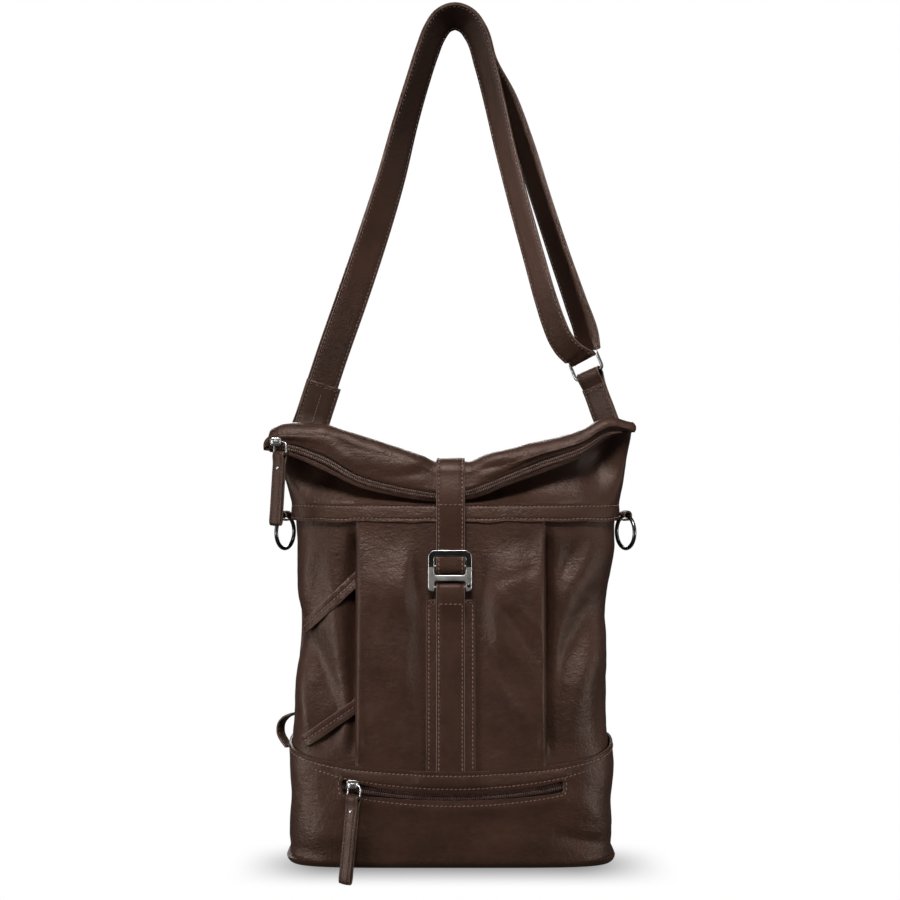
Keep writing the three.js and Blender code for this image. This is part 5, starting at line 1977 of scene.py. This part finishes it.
    def build_left_tab(self, course: Frames) -> None:
        """Build the folded tab that takes both ends of the strap."""
        end = course.cut(0, 0)
        along = np.cross(end.across[0], -end.out[0])
        middle = end.places[0] + end.out[0] * self.layer_step / 2
        inside = self.layer_step / 2 + self.band.thick / 2 + 0.5 + self.tab_band.thick / 2
        down = [(inside, self.tab_above), (inside, 0), (inside, -self.tab_below)]
        line = np.array([*((-x, z) for x, z in down), (0, -self.tab_below - 2), *down[::-1]])
        aside = -line[:, :1] / inside * self.layer_aside / 2
        places = middle - line[:, :1] * end.out[0] + line[:, 1:] * along + end.across[0] * aside
        frames = Frames.in_plane(curve_through(places, 1.5), -end.across[0])
        self.finish_tab("strap_tab_left", self.tab_band, frames, self.left_tacks, self.left_bar)

    def build_right_tab(self) -> None:
        """Build the tab that is looped round the rectangular ring."""
        across, down, _ = self.ring_axes()
        up = unit_rows(np.array(self.right_up))
        front = unit_rows(np.cross(across, up))
        bend = self.ring_wire + self.right_play + self.right_band.thick / 2
        close = self.right_band.thick / 2 + 0.2
        heights = (-self.right_length, -self.right_length / 2, -self.right_neck)
        leg = np.array([(-close, z) for z in heights])
        line = np.concatenate([leg, round_bar(0, 0, bend, 180, 0, 10), leg[::-1] * [-1, 1]])
        places = np.array(self.ring_at) + down * self.ring_drop - line[:, :1] * front + line[:, 1:] * up
        frames = Frames.in_plane(curve_through(places, 1.5), unit_rows(np.cross(up, front)))
        self.finish_tab("strap_tab_right", self.right_band, frames, cover=self.right_cover)

    def finish_tab(self, node: str, band: Band, frames: Frames, tacks: Sequence[float] = (),
                   bar: Sequence[float] = (), cover: Sequence[float] = ()) -> None:
        """Sweep, sew and dress one tab.

        Args:
            node: CAD node that the tab stands for.
            band: Its strap.
            frames: Its course.
            tacks: Shares of the course that are sewn across.
            bar: First and last share of a seam along the tab's middle.
            cover: First and last share of a second layer that is sewn on top.
        """
        draft = MeshDraft()
        band.sweep(draft, frames)
        if cover:
            part = frames.cut(*cover)
            part = Frames(part.moved(0, band.thick - 0.1), part.across, part.out)
            band.sweep(draft, part)
            band.sew(draft, part)
            band.tack(draft, part, 0.96)
        else:
            band.sew(draft, frames)
        for share in tacks:
            band.tack(draft, frames, share)
        if bar:
            part = frames.cut(*bar)
            seam = part.moved(0, band.thick / 2 + band.dome)
            Thread(3.2, 3.0, 0.5).sew(draft, seam, part.out, THREAD_NUMBER)
        draft.put(node + "_hide", [SHADED_SHOULDER_HIDE, EDGE_PAINT_AND_HIGHLIGHT, DARK_THREAD], node)


def wire_rings(path: Array, axis: Array, radius: float, sides: int = 14) -> Array:
    """Give the rings of a round wire along a closed flat loop.

    Args:
        path: Points of the loop.
        axis: Direction square to the loop's plane.
        radius: Half the wire's thickness.
        sides: Points of each ring.

    Returns:
        Points by ring and place round the ring.
    """
    along = unit_rows(np.roll(path, -1, axis=0) - np.roll(path, 1, axis=0))
    out = unit_rows(np.cross(along, axis))
    cosines, sines = (part[:, None] for part in circle(sides))
    return path[:, None] + (out[:, None] * cosines + np.asarray(axis) * sines) * radius


# Zips

@dataclass(frozen=True)
class ZipChain:
    """A zip: a woven tape with two rows of coil along its middle."""

    pitch: float = 1.9
    tooth: float = 2.7
    tooth_radius: float = 0.66
    tape: float = 0.8
    ridge: float = 0.7
    ridge_half: float = 2.6
    tooth_out: float = 0.25
    coil: Finish = COIL

    def build(self, name: str, node: str, course: Frames, above: Array, below: Array) -> None:
        """Build the tape and its teeth.

        Args:
            name: Name of the piece.
            node: CAD node that it stands for.
            course: Middle line, the direction down across the tape, and the direction out of it.
            above: How far the tape reaches up at each place.
            below: How far it reaches down.
        """
        share = np.linspace(0, 1, 13)
        down = -above[:, None] + (above + below)[:, None] * share
        swell = self.ridge * np.exp(-((down / self.ridge_half) ** 4))
        across, out = course.across[:, None], course.out[:, None]
        outer = course.places[:, None] + across * down[..., None] + out * swell[..., None]
        draft = MeshDraft()
        draft.add_sheet(outer, outer - out * self.tape, False)
        self.add_teeth(draft, course, np.minimum(above, below))
        draft.put(name, [TAPE, self.coil], node)

    def add_teeth(self, draft: MeshDraft, course: Frames, room: Array) -> None:
        """Add both rows of coil.

        Args:
            draft: Draft that takes the teeth.
            course: The zip's course.
            room: Half the tape's width at each place, which shortens the teeth.
        """
        lengths = run_lengths(course.places)
        shares, swell = np.array([-0.5, -0.36, 0.0, 0.36, 0.5]), np.array([0.45, 0.9, 1.0, 0.9, 0.45])
        for number in range(int(lengths[-1] / self.pitch)):
            for row, shift in ((-1, 0.25), (1, 0.75)):
                at = (number + shift) * self.pitch
                place, across, out = [np.array([np.interp(at, lengths, part[:, k]) for k in range(3)])
                                      for part in (course.places, course.across, course.out)]
                along = np.cross(out, across)
                reach = min(self.tooth, float(np.interp(at, lengths, room)) * 0.9)
                middle = place + across * row * reach * 0.52 + out * (self.ridge + self.tooth_out)
                spine = middle + np.outer(shares * reach, across) + np.outer(np.abs(shares) * -0.5, out)
                draft.add_rod(spine, swell * self.tooth_radius, along, out, 6, 1)


@dataclass
class Zips:
    """The zip across the rolled mouth and the zip of the boot's pocket."""

    roll: RollTop
    boot: Boot
    chain: ZipChain = ZipChain(1.9, 3.2, 0.72)
    pocket_chain: ZipChain = ZipChain(2.1, 3.8, 0.85, coil=SHADED_POCKET_COIL)
    left: float = -180.0
    right: float = 168.0
    recess: float = 0.3
    margin: float = 0.6
    overhang: float = 3.4
    pocket_out: float = -0.4

    def build(self) -> None:
        """Build both zips."""
        x = np.linspace(self.left, self.right, 220)
        leather = self.roll.form.leather
        full = self.roll.fullness(x, self.roll.mouth_left - leather, self.roll.mouth_right - leather)
        inside = (self.roll.half - leather) * full
        upper, lower = self.roll.flap_point(x, 1, inside), self.roll.flap_point(x, 1, -inside)
        across = unit_rows(lower - upper)
        half = np.linalg.norm(lower - upper, axis=1) / 2
        out = rows_of(0.0, across[:, 2], -across[:, 1])
        middle = (upper + lower) / 2 - out * self.recess
        room = np.maximum(half - self.margin, 0.6)
        self.chain.build("top_zip_chain", "top_zip", Frames(middle, across, out), room, room + self.overhang)
        boot = self.boot
        x = np.linspace(boot.slot_left - 4, boot.slot_right + 4, 140)
        z = boot.slot_z(x)
        places = rows_of(x, boot.form.front_y(x, z) - self.pocket_out, z)
        down = np.repeat([[0.0, 0.0, -1.0]], len(x), axis=0)
        wide = np.full_like(x, boot.slot_half + 4)
        course = Frames(places, down, boot.form.front_out(x, z))
        self.pocket_chain.build("pocket_zip_chain", "pocket_zip", course, wide, wide)


@dataclass(frozen=True)
class ZipPull:
    """A slider with its wire ring and folded leather tab: where it sits and how it hangs."""

    name: str
    at: Point
    length: float
    lean: float
    out: float
    aside: float
    turn: float = -32.0
    wire: float = 0.9
    ring_wide: float = 14.5
    ring_tall: float = 13.0
    neck: float = 7.0
    play: float = 0.85
    gap: float = 1.3
    rivet: float = 1.7
    rivet_drop: float = 13.0
    slider_wide: float = 12.0
    slider_tall: float = 8.4
    slider_back: float = 2.1
    band: Band = Band(13.2, 2.2, 2.2, 0.25, 0.3)
    bow_band: Band = Band(4.2, 1.7, 1.2, 0.0, 0.5)
    bow_line: tuple[Span, ...] = (
        (-5.2, 1.6), (-5.0, -0.8), (-3.2, -2.6), (0.2, -3.2), (3.0, -2.6), (4.9, -0.9), (5.2, 1.6))
    seam_thread: Thread = Thread(3.4, 2.5, 0.36)

    def hung(self, points: Array) -> Array:
        """Turn points of the hanging pull to the way that it leans, and set them in place."""
        turns = (("Y", self.lean), ("X", -self.out), ("Z", self.turn))
        swing, tip, spin = (np.array(Matrix.Rotation(math.radians(angle), 3, axis)) for axis, angle in turns)
        return points @ (swing @ tip @ spin).T + np.array(self.at) + np.array([self.aside, -0.3, 0])

    def build(self) -> None:
        """Build the slider, the ring, the tab and the rivet."""
        self.build_slider()
        flat = rounded_loop(self.ring_wide, 0, -self.ring_tall, (4.5, 4.5, 3.4, 3.4))
        path = rows_of(flat[:, 0], 0.0, flat[:, 1])
        draft = MeshDraft()
        draft.add_tube(self.hung(wire_rings(path, np.array([0.0, 1.0, 0.0]), self.wire, 12)), True)
        draft.put(self.name + "_pull_wire", [NICKEL], self.name + "_pull_ring")
        self.build_tab()

    def build_slider(self) -> None:
        """Build the slider's shield plate and the bow that holds the ring."""
        half = self.slider_tall / 2
        shield = rounded_loop(self.slider_wide, half, -half, (4.0, 2.2, 2.2, 4.0))
        name = self.name + "_slider_plate"
        mesh = pressed_plate(name, [shield], 2.4, 0.8)
        mesh.materials.append(NICKEL.material())
        plate = show(name, mesh, 50, np.add(self.at, (0, self.slider_back, 0)))
        put(plate, Slot.NICKEL, self.name + "_slider")
        places = np.array([(x, y, 0) for x, y in self.bow_line]) + np.array(self.at)
        draft = MeshDraft()
        course = Frames.in_plane(curve_through(places, 0.5), np.array([0.0, 0.0, -1.0]))
        self.bow_band.sweep(draft, course)
        draft.put(self.name + "_slider_bow", [NICKEL, NICKEL])

    def build_tab(self) -> None:
        """Build the folded tab round the ring's lower bar, its seams and its rivet."""
        bar, close = -self.ring_tall, (self.band.thick + self.gap) / 2
        bend = self.wire + self.play + self.band.thick / 2
        low = bar - self.length + close
        straight = np.linspace(bar - self.neck, low, 6)
        behind = rows_of(close, straight)
        front = behind[::-1] * [-1, 1]
        line = np.concatenate([front[2:], round_bar(0, bar, bend, 180, 0, 10), behind,
                               round_bar(0, low, close, -20, -160, 6), front[:3]])
        places = curve_through(rows_of(0.0, line[:, 0], line[:, 1]), 1.2)
        course = Frames.in_plane(places, np.array([1.0, 0.0, 0.0]))
        rings, finish = self.band.rings(course)
        draft = MeshDraft()
        draft.add_tube(self.hung(rings[:-1]), True, finish)
        outer = -close - self.band.thick / 2
        z = np.linspace(bar - 4, low - 0.5, 60)
        line = self.band.width / 2 - self.band.seam
        for aside, way in ((-line, -1), (-line, 1), (line, -1), (line, 1)):
            seam = rows_of(aside, -way * (outer + self.band.furrow), z)
            out = self.hung(seam + [0, way, 0]) - self.hung(seam)
            self.seam_thread.sew(draft, self.hung(seam), out, THREAD_NUMBER)
        finishes = [STRAP_HIDE, EDGE_PAINT_AND_HIGHLIGHT, DARK_THREAD]
        draft.put(self.name + "_pull_hide", finishes, self.name + "_pull_tab")
        cosines, sines = circle(20)
        ring = rows_of(cosines, 0.0, sines) * self.rivet
        steps = ((0.3, 1.0), (-0.4, 1.0), (-0.75, 0.82), (-0.95, 0.5), (-1.02, 0.12))
        spot = np.array([0, outer, bar - self.rivet_drop])
        rivet = MeshDraft()
        dome = np.stack([spot + [0, depth, 0] + ring * size for depth, size in steps])
        rivet.add_tube(self.hung(dome), False)
        rivet.put(self.name + "_pull_rivet_dome", [NICKEL], self.name + "_pull_rivet")


# Side rings and base loop

@dataclass(frozen=True)
class SideRing:
    """A round ring at one end of the hem and the leather loop that it hangs in."""

    name: str
    x: float
    way: float
    body: str
    radius: float = 16.4
    wire: float = 2.0
    z: float = -513.9
    swing: float = 28.0
    band: Band = Band(10.0, 1.6, 5.0, 0.0, 0.3)
    inside: float = 3.5
    reach: float = 2.6

    def build(self) -> None:
        """Build the ring on its own body, and its loop on the bag."""
        turn = math.radians(self.swing)
        to_bag = np.array([-self.way * math.cos(turn), -math.sin(turn), 0.0])
        up = np.array([0.0, 0.0, 1.0])
        across = np.cross(to_bag, up)
        middle = np.array([self.x, 0.0, self.z])
        cosines, sines = circle(72)
        path = middle + (np.outer(cosines, across) + np.outer(sines, up)) * self.radius
        ring = MeshDraft()
        ring.add_tube(wire_rings(path, to_bag, self.wire, 16), True)
        node = "side_ring_" + self.name
        ring.put(node + "_wire", [GUNMETAL], node, body=self.body)
        radius = self.inside + self.band.thick / 2
        line = np.concatenate([[(self.reach, -radius)], round_bar(0, 0, radius, -110, -360, 14)])
        places = middle + up * self.radius + line[:, :1] * to_bag + line[:, 1:] * up
        draft = MeshDraft()
        self.band.sweep(draft, Frames.in_plane(curve_through(places, 0.8), across))
        tab = "ring_tab_" + self.name
        draft.put(tab + "_hide", [STRAP_HIDE, EDGE_PAINT_AND_HIGHLIGHT], tab)


@dataclass(frozen=True)
class BaseLoop:
    """The small leather loop at the lower left, behind the side."""

    at: Point = (-161.5, 22.0, -715.0)
    turn: float = 35.0
    out: float = 17.0
    half: float = 17.0
    band: Band = Band(12.0, 2.2, 2.4, 0.25, 0.3)

    def build(self) -> None:
        """Build the loop and sew its edges."""
        turn = math.radians(self.turn)
        away = np.array([-math.cos(turn), math.sin(turn), 0.0])
        up = np.array([0.0, 0.0, 1.0])
        line = np.array([(-1.4 / self.out, 1.0), (0.55, 0.72), (0.92, 0.3), (0.95, -0.25), (0.6, -0.75),
                         (5.5 / self.out, -1.0)]) * [self.out, self.half]
        places = np.array(self.at) + line[:, :1] * away + line[:, 1:] * up
        frames = Frames.in_plane(curve_through(places, 1.0), -np.cross(away, up))
        draft = MeshDraft()
        self.band.sweep(draft, frames)
        self.band.sew(draft, frames)
        draft.put("base_loop_hide", [STRAP_HIDE, EDGE_PAINT_AND_HIGHLIGHT, DARK_THREAD], "base_loop")


# Studio

@dataclass(frozen=True)
class Lamp:
    """A square soft light: its place, the point it faces, its side, its watts and its beam in degrees."""

    name: str
    at: Point
    aim: Point
    side: float
    power: float
    spread: float = 180.0

    def build(self) -> None:
        """Hang the light."""
        data = bpy.data.lights.new(self.name, "AREA")
        data.shape, data.size = "SQUARE", self.side * MM
        data.energy, data.spread = self.power, math.radians(self.spread)
        lamp = bpy.data.objects.new(self.name, data)
        lamp.location = Vector(self.at) * MM
        lamp.rotation_euler = (Vector(self.aim) - Vector(self.at)).to_track_quat("-Z", "Y").to_euler()
        bpy.context.scene.collection.objects.link(lamp)


@dataclass(frozen=True)
class Studio:
    """Round floor in a white room, soft lights and the camera."""

    floor_z: float = -853.0
    floor_radius: float = 420.0
    shade: float = 0.72
    shade_side: Span = (230.0, 120.0)
    shade_front: Span = (-82.0, 34.0)
    shade_back: Span = (150.0, 40.0)
    eye: Point = (-3.0, -2000.0, -432.0)
    ambient: float = 0.085
    lens: float = 80.0
    sensor: float = 36.0
    lamps: tuple[Lamp, ...] = (
        Lamp("low_left_light", (-1300, -700, -760), (-90, -40, -790), 400, 0.65, 40),
        Lamp("low_right_light", (1300, -700, -760), (90, -40, -790), 400, 0.55, 40),
        Lamp("key_light", (-1500, -560, -250), (0, 0, -620), 700, 6.8),
        Lamp("fill_light", (1450, -700, -100), (0, 0, -600), 800, 2.6),
        Lamp("top_light", (-120, -900, 750), (0, 0, -330), 700, 2.7, 33),
        Lamp("back_light", (-300, 1500, 200), (0, 0, -500), 900, 24),
        Lamp("strap_light", (-900, -760, -100), (80, 0, -210), 160, 0.29, 16),
    )

    def build(self) -> None:
        """Build the floor, the lights, the room and the camera."""
        self.build_floor()
        for lamp in self.lamps:
            lamp.build()
        self.build_room()
        data = bpy.data.cameras.new("camera")
        data.lens, data.sensor_width, data.sensor_fit = self.lens, self.sensor, "HORIZONTAL"
        camera = bpy.data.objects.new("camera", data)
        camera.location = Vector(self.eye) * MM
        camera.rotation_euler = (math.pi / 2, 0, 0)
        scene = bpy.context.scene
        scene.collection.objects.link(camera)
        scene.camera = camera
        scene.view_settings.view_transform = "Standard"

    def build_room(self) -> None:
        """Build a room that is seen white and gives only a little light."""
        world = bpy.data.worlds.new("white room")
        world.use_nodes = True
        tree = world.node_tree
        seen = tree.nodes.new("ShaderNodeLightPath").outputs["Is Camera Ray"]
        level = tree.nodes.new("ShaderNodeMapRange")
        level.inputs["To Min"].default_value = self.ambient
        tree.links.new(seen, level.inputs["Value"])
        tree.links.new(level.outputs["Result"], tree.nodes["Background"].inputs["Strength"])
        tree.nodes["Background"].inputs["Color"].default_value = (1, 1, 1, 1)
        bpy.context.scene.world = world

    def build_floor(self) -> None:
        """Build a round floor whose soft shade fades into the white room."""
        rows, sides, dark = 12, 64, Finish("shaded floor", (0.02, 0.02, 0.02))
        ring = rows_of(*circle(sides), 0.0)
        sizes = np.linspace(0.02, 1.0, rows)[:, None, None] * self.floor_radius
        draft = MeshDraft()
        first = draft.add_points(ring[None] * sizes + np.array([0, 0, self.floor_z]))
        draft.add_grid(first, rows, sides, True)
        draft.add_faces([tuple(range(first, first + sides))])
        sketch = NodeSketch(dark.name)
        place = sketch.node("ShaderNodeSeparateXYZ", {"Vector": sketch.where}).outputs
        shade = sketch.fall(sketch.reckon("ABSOLUTE", place["X"]), self.shade_side)
        for reach in (self.shade_front, self.shade_back):
            shade = sketch.reckon("MULTIPLY", shade, sketch.fall(place["Y"], reach))
        sketch.dress(Base_Color=dark.shade(1.0), Roughness=1.0, Specular_IOR_Level=0.0,
                     Alpha=sketch.reckon("MULTIPLY", shade, self.shade))
        draft.make("floor", [dark])


def main() -> None:
    """Build the bag's sub-assemblies in order."""
    logging.basicConfig(level=logging.INFO, format="%(message)s")
    form = BagForm()
    Studio().build()
    roll, boot = RollTop(form), Boot(form)
    assemblies = (
        BodyWall(form), boot, roll, FrontPanel(form), BackingPatch(form), PleatStrips(form),
        Closure(form, roll), ShoulderStrap(), Zips(roll, boot),
        ZipPull("top", at=(-173, -45.5, -424), length=68, lean=3, out=4, aside=4.5),
        ZipPull("pocket", at=(-97, -67, -755.5), length=82, lean=5.5, out=2, aside=2.0),
        SideRing("left", x=-167.8, way=-1, body="left_ring"),
        SideRing("right", x=172.5, way=1, body="right_ring"), BaseLoop(),
    )
    for assembly in assemblies:
        assembly.build()


if __name__ == "__main__":
    main()
